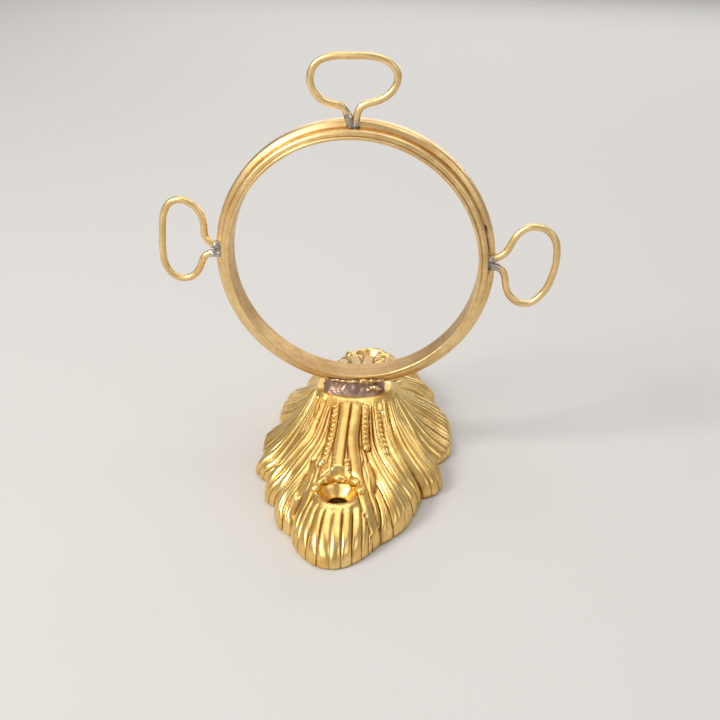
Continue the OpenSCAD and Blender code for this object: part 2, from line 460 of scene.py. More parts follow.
@dataclass(frozen=True)
class SurfaceEffects:
    """Node groups that the finishes share."""

    mottle: bpy.types.NodeTree
    grain: bpy.types.NodeTree
    brushing: bpy.types.NodeTree

    @classmethod
    def build(cls) -> "SurfaceEffects":
        """Makes each group once."""
        return cls(cls._mottle(), cls._grain(), cls._brushing())

    @staticmethod
    def _mottle() -> bpy.types.NodeTree:
        """Tarnish in broad clouds and small spots, from three sizes of noise.

        Returns:
            The group.
        """
        tree, s, source, sink = new_group(
            "tarnish_mottle",
            {"Vector": ("NodeSocketVector", None), "Size": ("NodeSocketFloat", 1.0)},
            ["Clouds", "Spots"],
        )
        sized = {0: source.outputs["Vector"], "Scale": source.outputs["Size"]}
        place = s.node("ShaderNodeVectorMath", sized, operation="SCALE").outputs[0]
        clouds = s.noise(place, 90.0, 5.0, 0.6)
        fine = s.noise(place, 520.0, 3.0, 0.6)
        mixed = s.plus(s.times(clouds, 0.68), s.times(fine, 0.32))
        spots = s.noise(place, 1500.0, 2.0, 0.5)
        tree.links.new(s.ramp(mixed, 0.34, 0.68), sink.inputs["Clouds"])
        tree.links.new(s.ramp(spots, 0.60, 0.74), sink.inputs["Spots"])
        return tree

    @staticmethod
    def _grain() -> bpy.types.NodeTree:
        """Height of a sand-cast skin that was polished: soft orange peel, fine grain and rare pits.

        Returns:
            The group.
        """
        tree, s, source, sink = new_group(
            "cast_grain",
            {
                "Vector": ("NodeSocketVector", None),
                "Peel": ("NodeSocketFloat", 0.5),
                "Pits": ("NodeSocketFloat", 0.5),
            },
            ["Height"],
        )
        vector = source.outputs["Vector"]
        peel = s.noise(vector, 700.0, 3.0, 0.6)
        fine = s.noise(vector, 3200.0, 2.0, 0.6)
        cells = s.node("ShaderNodeTexVoronoi", {"Vector": vector, "Scale": 330.0, "Randomness": 1.0})
        areas = s.ramp(s.noise(vector, 140.0, 2.0), 0.52, 0.66)
        pits = s.times(s.ramp(cells.outputs["Distance"], 0.11, 0.03), areas)
        height = s.times(s.plus(s.times(peel, 0.75), s.times(fine, 0.25)), source.outputs["Peel"])
        height = s.math("SUBTRACT", height, s.times(pits, source.outputs["Pits"]))
        tree.links.new(height, sink.inputs["Height"])
        return tree

    @staticmethod
    def _brushing() -> bpy.types.NodeTree:
        """Fine lines along the run of a drawn or turned piece, from noise stretched along it.

        Returns:
            The group.
        """
        tree, s, source, sink = new_group(
            "brushed_lines",
            {
                "Run": ("NodeSocketVector", None),
                "Across": ("NodeSocketFloat", 6.0),
                "Along": ("NodeSocketFloat", 0.15),
            },
            ["Lines", "Height"],
        )
        stretch = {0: source.outputs["Along"], 1: source.outputs["Across"], 2: 1.0}
        scale = s.node("ShaderNodeCombineXYZ", stretch).outputs[0]
        place = s.node("ShaderNodeVectorMath", {0: source.outputs["Run"], 1: scale}, operation="MULTIPLY")
        lines = s.noise(place.outputs[0], 1.0, 3.0, 0.65)
        tree.links.new(s.ramp(lines, 0.35, 0.65), sink.inputs["Lines"])
        tree.links.new(lines, sink.inputs["Height"])
        return tree


@dataclass(frozen=True)
class MetalFinish:
    """One metal finish: clean colours, a dark colour for tarnish and painted shade, polish, and the texture
    of its skin.

    Polish is the roughness of the brightest and the dullest parts. Brushed is the height of the
    lines that follow the piece's run, whose counts per millimetre are across and along.
    """

    name: str
    clean: Colour
    warm: Colour
    tarnish_and_shade: Colour
    polish: tuple[float, float]
    peel: float
    pits: float
    bump: float
    mottle_size: float = 1.0
    tarnish_share: float = 0.5
    recess_reach: tuple[float, float] = (0.15, 0.8)
    brushed: float = 0.0
    across: float = 6.0
    along: float = 0.15
    metallic: float = 1.0

    def build(self, effects: SurfaceEffects) -> bpy.types.Material:
        """Makes the material.

        The colour goes from clean to warm with the clouds, and to the dark colour with the recess, which is
        patchy by the clouds or, on a brushed piece, by its lines. The recess holds patina in hollows and,
        on some pieces, painted shade. Polish falls in the recesses and along brushed lines, and the bump
        joins grain and lines.

        Args:
            effects: The shared node groups.

        Returns:
            The material.
        """
        material = bpy.data.materials.new(self.name)
        material.use_nodes = True
        tree = material.node_tree
        tree.nodes.clear()
        s = Shader(tree)
        place = s.node("ShaderNodeTexCoord").outputs["Object"]
        layer = s.node("ShaderNodeAttribute", attribute_name="recess", attribute_type="GEOMETRY")
        recess = layer.outputs["Fac"]
        mottle = s.group(effects.mottle, {"Vector": place, "Size": self.mottle_size})
        clouds, spots = mottle.outputs["Clouds"], mottle.outputs["Spots"]
        patches = clouds
        if self.brushed:
            run = s.node("ShaderNodeUVMap", uv_map="run").outputs["UV"]
            brushing = s.group(effects.brushing, {"Run": run, "Across": self.across, "Along": self.along})
            patches = lines = brushing.outputs["Lines"]
        hollow = s.ramp(recess, *self.recess_reach)
        # Share of the dark colour: tarnish clouds and spots, and the recess, which is patina in hollows and
        # painted shade on some pieces.
        tarnish_and_shade_amount = s.times(clouds, self.tarnish_share * 0.5)
        tarnish_and_shade_amount = s.plus(tarnish_and_shade_amount, s.times(hollow, s.plus(s.times(patches, 0.45), 0.55)))
        tarnish_and_shade_amount = s.plus(tarnish_and_shade_amount, s.times(spots, 0.25 * self.tarnish_share), clamp=True)
        colour = s.mix(clouds, self.clean, self.warm)
        colour = s.mix(tarnish_and_shade_amount, colour, self.tarnish_and_shade)
        dulling = self.polish[1] - self.polish[0]
        rough = s.plus(s.times(clouds, dulling * 0.6), self.polish[0])
        rough = s.plus(rough, s.times(hollow, 0.22))
        grain = s.group(effects.grain, {"Vector": place, "Peel": self.peel, "Pits": self.pits})
        height = grain.outputs["Height"]
        if self.brushed:
            rough = s.plus(rough, s.times(lines, dulling * 0.5))
            height = s.plus(height, s.times(brushing.outputs["Height"], self.brushed))
            colour = s.mix(s.times(lines, 0.45), colour, self.warm)
        bump = s.node("ShaderNodeBump", {"Height": height, "Strength": self.bump, "Distance": 0.0002})
        shader = s.node("ShaderNodeBsdfPrincipled", {
            "Base Color": colour, "Roughness": rough, "Metallic": self.metallic,
            "Normal": bump.outputs["Normal"],
        })
        s.node("ShaderNodeOutputMaterial", {0: shader.outputs[0]})
        return material


GILT = MetalFinish(
    name="gilt_cast_brass",
    clean=(0.97, 0.70, 0.275, 1), warm=(0.87, 0.56, 0.165, 1), tarnish_and_shade=(0.27, 0.10, 0.018, 1),
    polish=(0.25, 0.40), peel=0.55, pits=0.7, bump=0.40,
    mottle_size=1.0, tarnish_share=0.40, recess_reach=(0.10, 0.72),
)
RING_BRASS = MetalFinish(
    name="satin_ring_brass",
    clean=(0.96, 0.72, 0.37, 1), warm=(0.78, 0.52, 0.22, 1), tarnish_and_shade=(0.36, 0.19, 0.065, 1),
    polish=(0.26, 0.40), peel=0.30, pits=0.8, bump=0.40,
    mottle_size=1.2, tarnish_share=0.50, recess_reach=(0.2, 1.0), brushed=1.0, across=2.6, along=0.05,
)
WIRE_BRASS = MetalFinish(
    name="drawn_wire_brass",
    clean=(0.96, 0.73, 0.37, 1), warm=(0.82, 0.58, 0.26, 1), tarnish_and_shade=(0.34, 0.20, 0.10, 1),
    polish=(0.26, 0.40), peel=0.3, pits=0.3, bump=0.35,
    mottle_size=1.4, tarnish_share=0.4, recess_reach=(0.2, 0.9), brushed=0.6, across=5.0, along=0.18,
)
BRAZE = MetalFinish(
    name="poured_braze",
    clean=(0.94, 0.68, 0.37, 1), warm=(0.70, 0.44, 0.21, 1), tarnish_and_shade=(0.24, 0.12, 0.05, 1),
    polish=(0.26, 0.46), peel=0.9, pits=0.8, bump=0.6,
    mottle_size=2.2, tarnish_share=0.7,
)
# Its reddish brown is partly the solder's own dark colour and partly a painted reddish reflection.
DARK_SOLDER = MetalFinish(
    name="burnt_solder_with_painted_reflection",
    clean=(0.38, 0.255, 0.195, 1), warm=(0.26, 0.17, 0.13, 1), tarnish_and_shade=(0.09, 0.055, 0.04, 1),
    polish=(0.38, 0.56), peel=0.6, pits=0.7, bump=0.4,
    mottle_size=2.2, tarnish_share=0.5, recess_reach=(0.1, 1.0), metallic=0.85,
)
BRIGHT_SOLDER = MetalFinish(
    name="leg_solder",
    clean=(0.62, 0.58, 0.53, 1), warm=(0.42, 0.37, 0.33, 1), tarnish_and_shade=(0.09, 0.07, 0.06, 1),
    polish=(0.24, 0.46), peel=0.8, pits=0.8, bump=0.6,
    mottle_size=2.4, tarnish_share=0.7, recess_reach=(0.1, 0.9), metallic=0.95,
)


# ---------------------------------------------------------------- rosette


@dataclass(frozen=True)
class Ridge:
    """Smooth ridge or beaded rib on the near half.

    Its line is given in plan, from the platform outwards. A pitch makes it a rib with studs that
    far apart, and a bulb is the size of the knob at the rib's end.
    """

    line: Chain
    half: float
    tall: float
    pitch: float = 0.0
    bulb: float = 0.0


RIDGES = (
    Ridge(
        ((1.95, -8.8), (1.9, -17), (2.2, -25), (4.2, -34), (6.1, -39.5), (8.4, -45.5), (11.6, -51)),
        1.50, 0.42,
    ),
    Ridge(((-1.55, -9.0), (-1.5, -17), (-1.35, -27), (-0.9, -36.0)), 1.55, 0.40),
    Ridge(((-7.0, -29), (-7.6, -37), (-8.6, -44), (-11.4, -50.0)), 1.35, 0.38),
)
RIBS = (
    Ridge(((4.35, -9.8), (4.9, -17), (5.4, -21), (6.1, -25.8)), 1.02, 0.34, 1.80, 1.15),
    Ridge(((-4.3, -10.0), (-4.1, -17), (-4.2, -23), (-4.8, -29), (-5.7, -32.4)), 1.02, 0.34, 1.80, 1.15),
    Ridge(((1.1, -31.0), (1.7, -34.0), (2.1, -36.4)), 0.80, 0.30, 1.55),
    Ridge(((7.7, -9.4), (8.5, -14), (9.5, -18.5), (11.7, -23.8)), 0.92, 0.34, 1.70),
)


@dataclass(frozen=True)
class Eye:
    """Pointed hollow with a veined seed on the near half: its middle, lean in degrees and half sizes."""

    centre: tuple[float, float]
    lean: float
    half_long: float
    half_wide: float


@dataclass(frozen=True)
class Lump:
    """One lump of the crest behind a screw hole: direction from the hole's middle and half width."""

    turn: float
    half: float


EYES = (Eye((7.9, -35.2), 14.0, 5.4, 1.9), Eye((-9.4, -38.0), -16.0, 4.4, 1.6))
CREST = (Lump(50.0, 2.2), Lump(90.0, 2.0), Lump(130.0, 2.3), Lump(14.0, 1.6), Lump(166.0, 1.7))


@dataclass
class Rosette:
    """Hollow cast acanthus rosette with a soldering platform and two countersunk screw holes.

    A point is numbered by k, the flow line it lies on, and t, the share of the way from the
    platform to the rim. Lines 0 to 9 fill a quarter: 0 is the long axis, 9 the short one, and
    2, 4, 6 and 8 run into the notches between the lobes. The outline differs in all four
    quarters, while the chased ridges, ribs and eyes of the far half are the near half's turned
    half round.
    """

    half_width: float
    half_length: float
    height: float
    platform: tuple[float, float] = (11.0, 8.5)
    platform_power: float = 2.2
    outline_power: float = 1.6
    edge: float = 1.4
    wall: float = 2.6
    screw_at: float = 42.5
    screw_hole: float = 2.45
    countersink: float = 4.8
    countersink_depth: float = 2.6
    collar_height: float = 11.4
    collar: float = 6.3
    rows: tuple[int, int, int] = (4, 54, 36)
    platform_angles: tuple[float, ...] = (90, 80, 70.9, 61.8, 52.4, 41.5, 23.0, 11.5, 5.2, 0)
    rim_angles: tuple[tuple[float, ...], ...] = (
        (90, 82, 76, 68.5, 60, 54.5, 49.5, 35, 18, 0),
        (90, 81, 76, 69, 62.5, 55.5, 48.5, 33, 17, 0),
        (90, 81, 76, 69, 62, 57.5, 53, 38, 22.5, 0),
        (90, 80.5, 75.5, 69.5, 61, 54, 45.6, 32, 20, 0),
    )
    borders: tuple[tuple[float, ...], ...] = (
        (-2.0, 2, 6, 8, 10), (-2.0, 2, 4, 6, 10), (-2.0, 2, 6, 8, 10), (-2.0, 2, 4, 6, 8, 10),
    )
    weights: tuple[tuple[float, ...], ...] = (
        (0.35, 0.8, 1.0, 0.8), (0.4, 0.7, 0.9, 0.9), (0.4, 0.8, 1.0, 0.8), (0.35, 0.7, 0.85, 1.0, 0.7),
    )
    outline: Chain = (
        (0, 1.01), (12, 1.03), (21, 1.045), (30, 1.06), (40, 1.02), (48.5, 0.955), (55, 1.04),
        (62.5, 0.985), (69, 1.02), (76, 0.98), (83, 1.0), (90, 1.0),
        (97, 1.0), (104, 0.97), (112, 1.0), (118, 0.965), (127, 0.93), (134, 1.01), (141, 1.0),
        (151, 0.955), (157.5, 0.88), (164, 0.925), (178, 0.955),
        (190, 0.965), (200, 0.945), (207, 1.0), (212, 1.03), (220, 0.97), (225.6, 0.885), (230, 0.97),
        (235, 1.0), (241, 0.945), (246, 0.98), (250, 0.995), (255.5, 0.96), (259.5, 1.0), (265, 1.01),
        (270, 1.0),
        (275, 1.005), (279, 0.995), (284, 0.975), (290, 1.0), (295, 1.0), (302, 0.975), (310.5, 0.945),
        (319, 1.035), (326, 1.04), (335, 0.97), (342, 0.90), (350, 0.96), (356, 0.995),
    )
    flow: np.ndarray = field(default_factory=lambda: np.array([
        [(0, 21.6), (0, 34.8), (0, 47.9)],
        [(1.9, 21.5), (4.0, 34.5), (6.9, 47.2)],
        [(3.4, 20.5), (6.4, 32.5), (11.0, 43.0)],
        [(5.0, 19.4), (7.8, 29.5), (12.6, 38.0)],
        [(6.9, 17.5), (9.6, 25.5), (14.6, 32.0)],
        [(8.9, 15.0), (11.4, 21.5), (16.2, 27.4)],
        [(11.6, 10.5), (13.8, 16.0), (17.8, 21.4)],
        [(13.0, 6.6), (16.6, 11.2), (21.2, 15.4)],
        [(14.4, 3.3), (18.0, 5.6), (21.8, 8.0)],
        [(15.5, 0), (20.0, 0), (24.5, 0)],
    ], float))
    flutes: tuple[float, ...] = (0, 3, 6, 7.5, 9, 11, 13, 15.5, 18, 19.5)
    lobe_flutes: int = 6
    folds: tuple[int, ...] = (0, 2, 4, 6, 7, 9, 11, 13, 15, 16, 18, 21)

    # ---- plan and flank

    def oval(self, angle: np.ndarray, ax: float, ay: float, power: float) -> np.ndarray:
        """Radius of a superellipse: (|cos/ax|^power + |sin/ay|^power)^(-1/power)."""
        a = np.radians(angle)
        return (np.abs(np.cos(a) / ax) ** power + np.abs(np.sin(a) / ay) ** power) ** (-1 / power)

    def polar(self, radius: np.ndarray, angle: np.ndarray) -> np.ndarray:
        """Plan positions at a radius and a direction in degrees."""
        return np.stack([radius * np.cos(np.radians(angle)), radius * np.sin(np.radians(angle))], -1)

    def rim(self, angle: np.ndarray) -> np.ndarray:
        """Radius of the outline in a direction.

        It is a superellipse times the outline's share, which a 3 degree window rounds slightly.

        Args:
            angle: Directions in degrees.

        Returns:
            Radii.
        """
        fine = np.linspace(0, 360, 3601)
        share = np.interp(fine, *np.array(self.outline).T, period=360)
        window = np.hanning(31) / np.hanning(31).sum()
        soft = np.convolve(np.concatenate([share[-16:-1], share, share[1:16]]), window, mode="valid")
        plain = self.oval(angle, self.half_width, self.half_length, self.outline_power)
        return plain * np.interp(np.mod(angle, 360), fine, soft)

    def flank(self, u: np.ndarray, w: np.ndarray) -> np.ndarray:
        """Height of the plain flank above a plan position.

        With s the share of the way out and f = 0.13 + 0.42 sin^2(angle), the rise is
        (1 - f)(1 - s)^1.7 + f sqrt(1 - s^3) of the platform's height above the edge.

        Args:
            u: Plan positions across the rosette.
            w: Plan positions along the rosette.

        Returns:
            Heights above the wall.
        """
        angle = np.degrees(np.arctan2(w, u))
        inner = self.oval(angle, *self.platform, self.platform_power)
        s = np.clip((np.hypot(u, w) - inner) / (self.rim(angle) - inner), 0, 1)
        full = 0.13 + 0.42 * np.sin(np.radians(angle)) ** 2
        rise = (1 - full) * (1 - s) ** 1.7 + full * np.sqrt(1 - s**3)
        return self.edge + (self.height - self.edge) * rise

    def quarter_plan(self, k: np.ndarray, t: np.ndarray, quarter: int) -> np.ndarray:
        """Plan positions on the flow lines of one quarter, by splines along and then across them.

        What a spline misses of the platform's edge or of the outline is added back, fading inwards.

        Args:
            k: Flow line per column.
            t: Share of the way out per row.
            quarter: 0 near right, 1 far right, 2 far left, 3 near left.

        Returns:
            Positions by column and row.
        """
        start, end = np.array(self.platform_angles), np.array(self.rim_angles[quarter])
        turn, sign = ((0, -1), (0, 1), (180, -1), (180, 1))[quarter]
        flip = np.array(((1, -1), (1, 1), (-1, 1), (-1, -1))[quarter])
        first = self.polar(self.oval(start, *self.platform, self.platform_power), start)
        last = self.polar(self.rim(turn + sign * end), end)
        points = np.concatenate([first[:, None], self.flow, last[:, None]], axis=1)
        lines = spline(points.transpose(1, 0, 2), t * 4)
        plan = spline(lines.transpose(1, 0, 2), k)
        a0 = spline(start[:, None], k)[:, 0]
        a1 = spline(end[:, None], k)[:, 0]
        fix0 = self.polar(self.oval(a0, *self.platform, self.platform_power), a0) - plan[:, 0]
        fix1 = self.polar(self.rim(turn + sign * a1), a1) - plan[:, -1]
        near, far = smooth(t, 0.35, 0.0)[None, :, None], smooth(t, 0.6, 1.0)[None, :, None]
        return (plan + fix0[:, None] * near + fix1[:, None] * far) * flip

    def numbering(self) -> np.ndarray:
        """Flute number of each column of one quarter, with columns crowded at the grooves.

        Flutes of the end lobe take seven columns, the others six for each half, so that every
        groove runs along a column.

        Returns:
            Flute numbers from the long axis to just before the short one.
        """
        whole = np.array([0, 0.05, 0.15, 0.35, 0.65, 0.85, 0.95])
        half = np.array([0, 0.05, 0.16, 0.34, 0.66, 0.84]) / 2
        lobe = np.concatenate([i + whole for i in range(self.lobe_flutes)])
        halves = range(2 * self.lobe_flutes, int(2 * self.flutes[-1]))
        rest = np.concatenate([i / 2 + half for i in halves])
        return np.concatenate([lobe, rest])

    def grid(self) -> tuple[np.ndarray, np.ndarray, np.ndarray, np.ndarray]:
        """Whole plan grid, columns round the rosette and rows from platform to rim.

        Returns:
            Flute number per column, t per row, plan positions and the quarter of each column.
        """
        number = self.numbering()
        a, b, c = self.rows
        t = np.concatenate([
            np.linspace(0, 0.05, a, endpoint=False),
            np.linspace(0.05, 0.6, b, endpoint=False),
            np.linspace(0.6, 1, c),
        ])
        back = np.concatenate([[self.flutes[-1]], number[:0:-1]])
        k, k_back = (np.interp(n, self.flutes, np.arange(10)) for n in (number, back))
        lines = (k, k_back, k, k_back)
        plan = np.concatenate([self.quarter_plan(line, t, q) for q, line in enumerate(lines)])
        numbers = np.concatenate([number, back, number, back])
        return numbers, t, plan.transpose(1, 0, 2), np.repeat(np.arange(4), len(k))

    # ---- relief

    def fluting(
        self, number: np.ndarray, t: np.ndarray, side: np.ndarray, pitch: np.ndarray, far: np.ndarray
    ) -> tuple[np.ndarray, np.ndarray]:
        """Feather-like flutes parted by narrow grooves, gathered in broad folds.

        Across one flute, x from 0 to 1, the height is depth (0.55 (1 - |2x - 1|^3) + lean (x - 0.5) - 0.2)
        less a groove cut * exp(-(e / 0.26)^2) with e the distance to the flute's border in
        millimetres. Some borders are folds: the ground between two folds, y from 0 to 1, rises by
        fold_depth (1 - |2y - 1|^2.3 - 0.5 + tilt (y - 0.5)) and their grooves are deeper. Wide flutes
        split in two towards the rim. In the end lobe the flutes start beyond the screw hole.

        Args:
            number: Flute number per column.
            t: Share of the way out per row.
            side: Quarter of each column.
            pitch: Width of a flute at each grid point.
            far: Distance of each grid point from the screw hole of its half.

        Returns:
            Height and recess.
        """
        x, which = np.mod(number, 1), np.floor(np.minimum(number, self.flutes[-1] - 0.1)).astype(int)
        lobe = number < self.lobe_flutes
        border = np.round(np.minimum(number, self.lobe_flutes)).astype(int)
        folds = np.array(self.folds, float)
        place = np.clip(np.searchsorted(folds, number, side="right") - 1, 0, len(folds) - 2)
        rng = np.random.default_rng(12)
        lean = rng.uniform(0.0, 0.55, (4, 20))[side, which] * np.where(which % 5 == 2, -0.6, 1.0)
        tall = rng.uniform(0.6, 1.25, (4, 20))[side, which]
        lobe_tall = rng.uniform(0.35, 1.15, (4, 20))[side, which]
        begin = rng.uniform(0.0, 0.05, (4, 20))[side, which]
        lobe_cut = rng.uniform(0.30, 1.0, (4, 7))[side, border]
        tilt = rng.uniform(-0.5, 0.9, (4, 12))[side, place]
        fold_tall = rng.uniform(0.7, 1.2, (4, 12))[side, place]

        depth = np.clip(0.17 * pitch, 0.12, 0.5) * tall * np.where(lobe, lobe_tall, 1.0)
        crown = 1 - np.abs(2 * x - 1) ** 3
        pair = 1 - np.abs(4 * np.abs(x - 0.5) - 1) ** 3
        split = smooth(pitch, 2.6, 3.8) * smooth(t, 0.4, 0.7)[:, None] * ~lobe * 0.7
        body = 0.55 * (crown * (1 - split) + 0.75 * pair * split)
        height = depth * (body + lean * (x - 0.5) * (1 - np.abs(2 * x - 1) ** 8) - 0.2)

        span = folds[place + 1] - folds[place]
        y = (number - folds[place]) / span
        fold_depth = np.clip(0.17 * pitch * span, 0.15, 1.05) * fold_tall * np.where(lobe, 0.35, 1.0)
        bend = tilt * (y - 0.5) * (1 - np.abs(2 * y - 1) ** 6)
        height = height + fold_depth * (1 - np.abs(2 * y - 1) ** 2.3 - 0.5 + bend)

        at_fold = np.isin(which, folds) * (x < 0.5) + np.isin(which + 1, folds) * (x >= 0.5)
        strong = np.where(lobe, lobe_cut, 0.45 + 0.55 * at_fold)
        edge = np.minimum(x, 1 - x) * pitch
        groove = np.clip(0.30 * pitch, 0.10, 0.46) * strong * np.exp(-((edge / 0.26) ** 2))
        middle = split * 0.8 * np.exp(-((np.abs(x - 0.5) * pitch / 0.22) ** 2))
        mark = np.maximum(np.exp(-((edge / 0.22) ** 2)) * (0.35 + 0.65 * strong), 0.55 * middle)
        beyond_hole = smooth(far, 5.4, 8.4) * smooth(t, 0.62, 0.74)[:, None]
        start = np.where(lobe, beyond_hole, smooth(t[:, None] - begin, 0.015, 0.08))
        return start * (height - np.maximum(groove, 0.22 * middle)), start * mark

    def lobes(self, k: np.ndarray, t: np.ndarray, side: np.ndarray) -> tuple[np.ndarray, np.ndarray]:
        """Lobes that rise to their tips and tuck under the next one.

        With y from 0 to 1 across a lobe the height is D(t) (0.9 (1 - (2y - 1)^2) - 0.5 + 0.5 (0.5 - y)),
        where D grows from 0 at t = 0.4 to the lobe's weight in millimetres at t = 0.9. The first and
        the last lobe have no slope. The recess paints shade along each border, in the valley where one
        lobe tucks under the next.

        Args:
            k: Flow line per column.
            t: Share of the way out per row.
            side: Quarter of each column.

        Returns:
            Height and recess.
        """
        height = np.zeros((len(t), len(k)))
        fold = np.zeros_like(height)
        for quarter, (edges, weights) in enumerate(zip(self.borders, self.weights)):
            edge = np.array(edges)
            which = np.clip(np.searchsorted(edge, k, side="right") - 1, 0, len(edge) - 2)
            y = (k - edge[which]) / (edge[which + 1] - edge[which])
            weight = np.array(weights)[which]
            slope = np.where((which > 0) & (which < len(edge) - 2), 0.5 - y, 0.0)
            part = weight * smooth(t, 0.4, 0.9)[:, None] * (0.9 * (1 - (2 * y - 1) ** 2) - 0.5 + 0.5 * slope)
            # Painted shade along both borders of each lobe.
            dark = weight * smooth(t, 0.45, 0.75)[:, None] * np.abs(2 * y - 1) ** 12
            on = side == quarter
            height[:, on], fold[:, on] = part[:, on], dark[:, on]
        return height, fold

    def features(
        self, u: np.ndarray, w: np.ndarray, height: np.ndarray, recess: np.ndarray
    ) -> tuple[np.ndarray, np.ndarray]:
        """Chased features of the near half: smooth ridges, the seats of the beaded ribs, and the eyes.

        A ridge is half an ellipse across its line, with a fine groove along each side. An eye is a
        pointed oval, x from 0 at its middle to 1 at its border, with the height
        0.5 (1 - x^2) - 0.45 and fine veins.

        Args:
            u: Plan position across, in the near half's sense.
            w: Plan position along, negative towards the near tip.
            height: Relief so far.
            recess: Recess so far.

        Returns:
            The new relief and recess.
        """
        for ridge in RIDGES + RIBS:
            gap, along = to_line(u, w, curve_through(ridge.line))
            begun = smooth(along, 0.1, 1.8)
            on = smooth(gap, ridge.half * 1.5, ridge.half * 0.85) * begun
            sunk = 0.26 if ridge.pitch else 0.16
            body = ridge.tall * np.sqrt(np.clip(1 - (gap / (ridge.half * 1.1)) ** 2, 0, 1)) - sunk
            line = np.exp(-(((gap - ridge.half * 1.12) / 0.20) ** 2)) * begun
            height = height * (1 - on) + body * on - 0.22 * line
            recess = np.maximum(recess * (1 - on), line * 0.95)
        for eye in EYES:
            a = math.radians(eye.lean)
            du, dw = u - eye.centre[0], w - eye.centre[1]
            p, q = du * math.cos(a) + dw * math.sin(a), -du * math.sin(a) + dw * math.cos(a)
            reach = eye.half_wide * np.sqrt(np.clip(1 - (q / eye.half_long) ** 2, 0, 1)) + 1e-3
            x = np.abs(p) / np.maximum(reach, 0.35)
            on = smooth(x, 1.3, 0.9) * smooth(np.abs(q), eye.half_long, eye.half_long * 0.85)
            veins = 0.07 * np.cos(2 * math.pi * (p / 0.95 + 0.10 * np.abs(q)))
            height = height * (1 - on) + (0.50 * (1 - x**2) - 0.45 + veins) * on
            recess = recess * (1 - on) + on * 0.8 * np.exp(-(((x - 1) / 0.25) ** 2))
        return height, recess

    def skin(self) -> tuple[np.ndarray, np.ndarray, np.ndarray]:
        """The outer skin: flank, then relief along the flank's normal, then the screw collars.

        Near the rim the relief turns from the normal to an even direction outwards and upwards.

        Returns:
            Positions and recess, both by row and column, and the plan grid.
        """
        number, t, plan, side = self.grid()
        k = np.interp(number, self.flutes, np.arange(10))
        drift = smooth(t, 0.02, 0.15) * smooth(t, 1.0, 0.88) * 0.22
        plan = plan + drift[:, None, None] * np.stack([ripple(plan, 19.0, 31), ripple(plan, 21.0, 32)], -1)
        u, w = plan[..., 0], plan[..., 1]
        base = np.stack([u, w, self.flank(u, w)], -1)
        step_c = np.roll(base, -1, 1) - np.roll(base, 1, 1)
        step_r = np.gradient(base, axis=0)
        normal = np.cross(step_c, step_r)
        normal *= np.sign(normal[..., 2:3] + 1e-12)
        normal /= np.linalg.norm(normal, axis=-1, keepdims=True)
        away = plan / np.linalg.norm(plan, axis=-1, keepdims=True)
        outward = np.concatenate([0.75 * away, np.full(plan.shape[:2] + (1,), 0.65)], -1)
        lift = smooth(t, 1.0, 0.9)[:, None, None]
        normal = normal * lift + outward * (1 - lift)
        before, after = np.roll(number, 1), np.roll(number, -1)
        turn = np.where(np.abs(after - before) < 1e-6, 2 * np.abs(number - before), np.abs(after - before))
        pitch = np.linalg.norm(step_c[..., :2], axis=-1) / turn
        soft = (np.roll(pitch, 3, 1) + np.roll(pitch, -3, 1) + pitch) / 3
        sense = np.where(w <= 0, 1.0, -1.0)
        nu, nw = u * sense, w * sense
        far = np.hypot(nu, nw + self.screw_at)
        height, recess = self.fluting(number, t, side, soft, far)
        height, recess = self.features(nu, nw, height, recess)
        crown, fold = self.lobes(k, t, side)
        height, recess = height + crown, np.maximum(recess, fold)
        height = height * (smooth(t, 0.0, 0.06) * (1 - 0.45 * smooth(t, 0.95, 1.0)))[:, None]
        height = height - 0.15 * smooth(t, 0.9, 1.0)[:, None]
        height = height + 0.06 * ripple(base, 9.0, 3) * smooth(t, 0, 0.1)[:, None]
        place = base + normal * height[..., None]
        place[..., 2] = np.maximum(place[..., 2], self.edge / 4)
        return self.collars(place), recess, plan

    def collars(self, place: np.ndarray) -> np.ndarray:
        """Levels the skin round each screw hole and raises a soft collar.

        Inside the collar the height is the collar's. Outside it the height climbs 1.25 mm per mm into
        the skin where the skin is higher, and falls away by up to 3.4 mm where the skin is lower. The
        collar and the skin meet in a soft blend 0.7 mm high.

        Args:
            place: The skin, by row and column.

        Returns:
            The skin with its collars.
        """
        x, y, z = place[..., 0], place[..., 1], place[..., 2].copy()
        brim, climb, fall, soft = self.collar_height + 0.10, 1.25, 3.4, 0.7
        for sign in (-1, 1):
            r = np.hypot(x, y - sign * self.screw_at)
            top = brim - fall * smooth(r, self.collar - 0.9, self.collar + 2.6) ** 1.3
            blend = np.clip(0.5 + 0.5 * (top - z) / soft, 0, 1)
            near = smooth(r, self.collar + 2.8, self.collar + 0.6)
            z = z + near * (blend * (top - z) + soft * blend * (1 - blend) * 0.5)
            level = brim + np.maximum(r - self.collar + 0.9, 0) * climb
            z = np.where(z > level, z + (level - z) * smooth(r, self.collar + 1.9, self.collar + 0.2), z)
        return np.stack([x, y, z], -1)

    def ground(self, place: np.ndarray, at: np.ndarray) -> tuple[np.ndarray, np.ndarray]:
        """Position and outward direction of the skin above plan positions.

        Args:
            place: The skin, by row and column.
            at: Plan positions, one row each.

        Returns:
            Positions and unit normals, one row each.
        """
        cross = np.cross(np.roll(place, -1, 1) - np.roll(place, 1, 1), np.gradient(place, axis=0))
        cross *= np.sign(cross[..., 2:3] + 1e-12)
        points, normals = place.reshape(-1, 3), cross.reshape(-1, 3)
        found = np.array([np.argmin((points[:, 0] - a) ** 2 + (points[:, 1] - b) ** 2) for a, b in at])
        near = points[found]
        normal = normals[found] / np.linalg.norm(normals[found], axis=1)[:, None]
        return np.stack([at[:, 0], at[:, 1], near[:, 2]], -1), normal

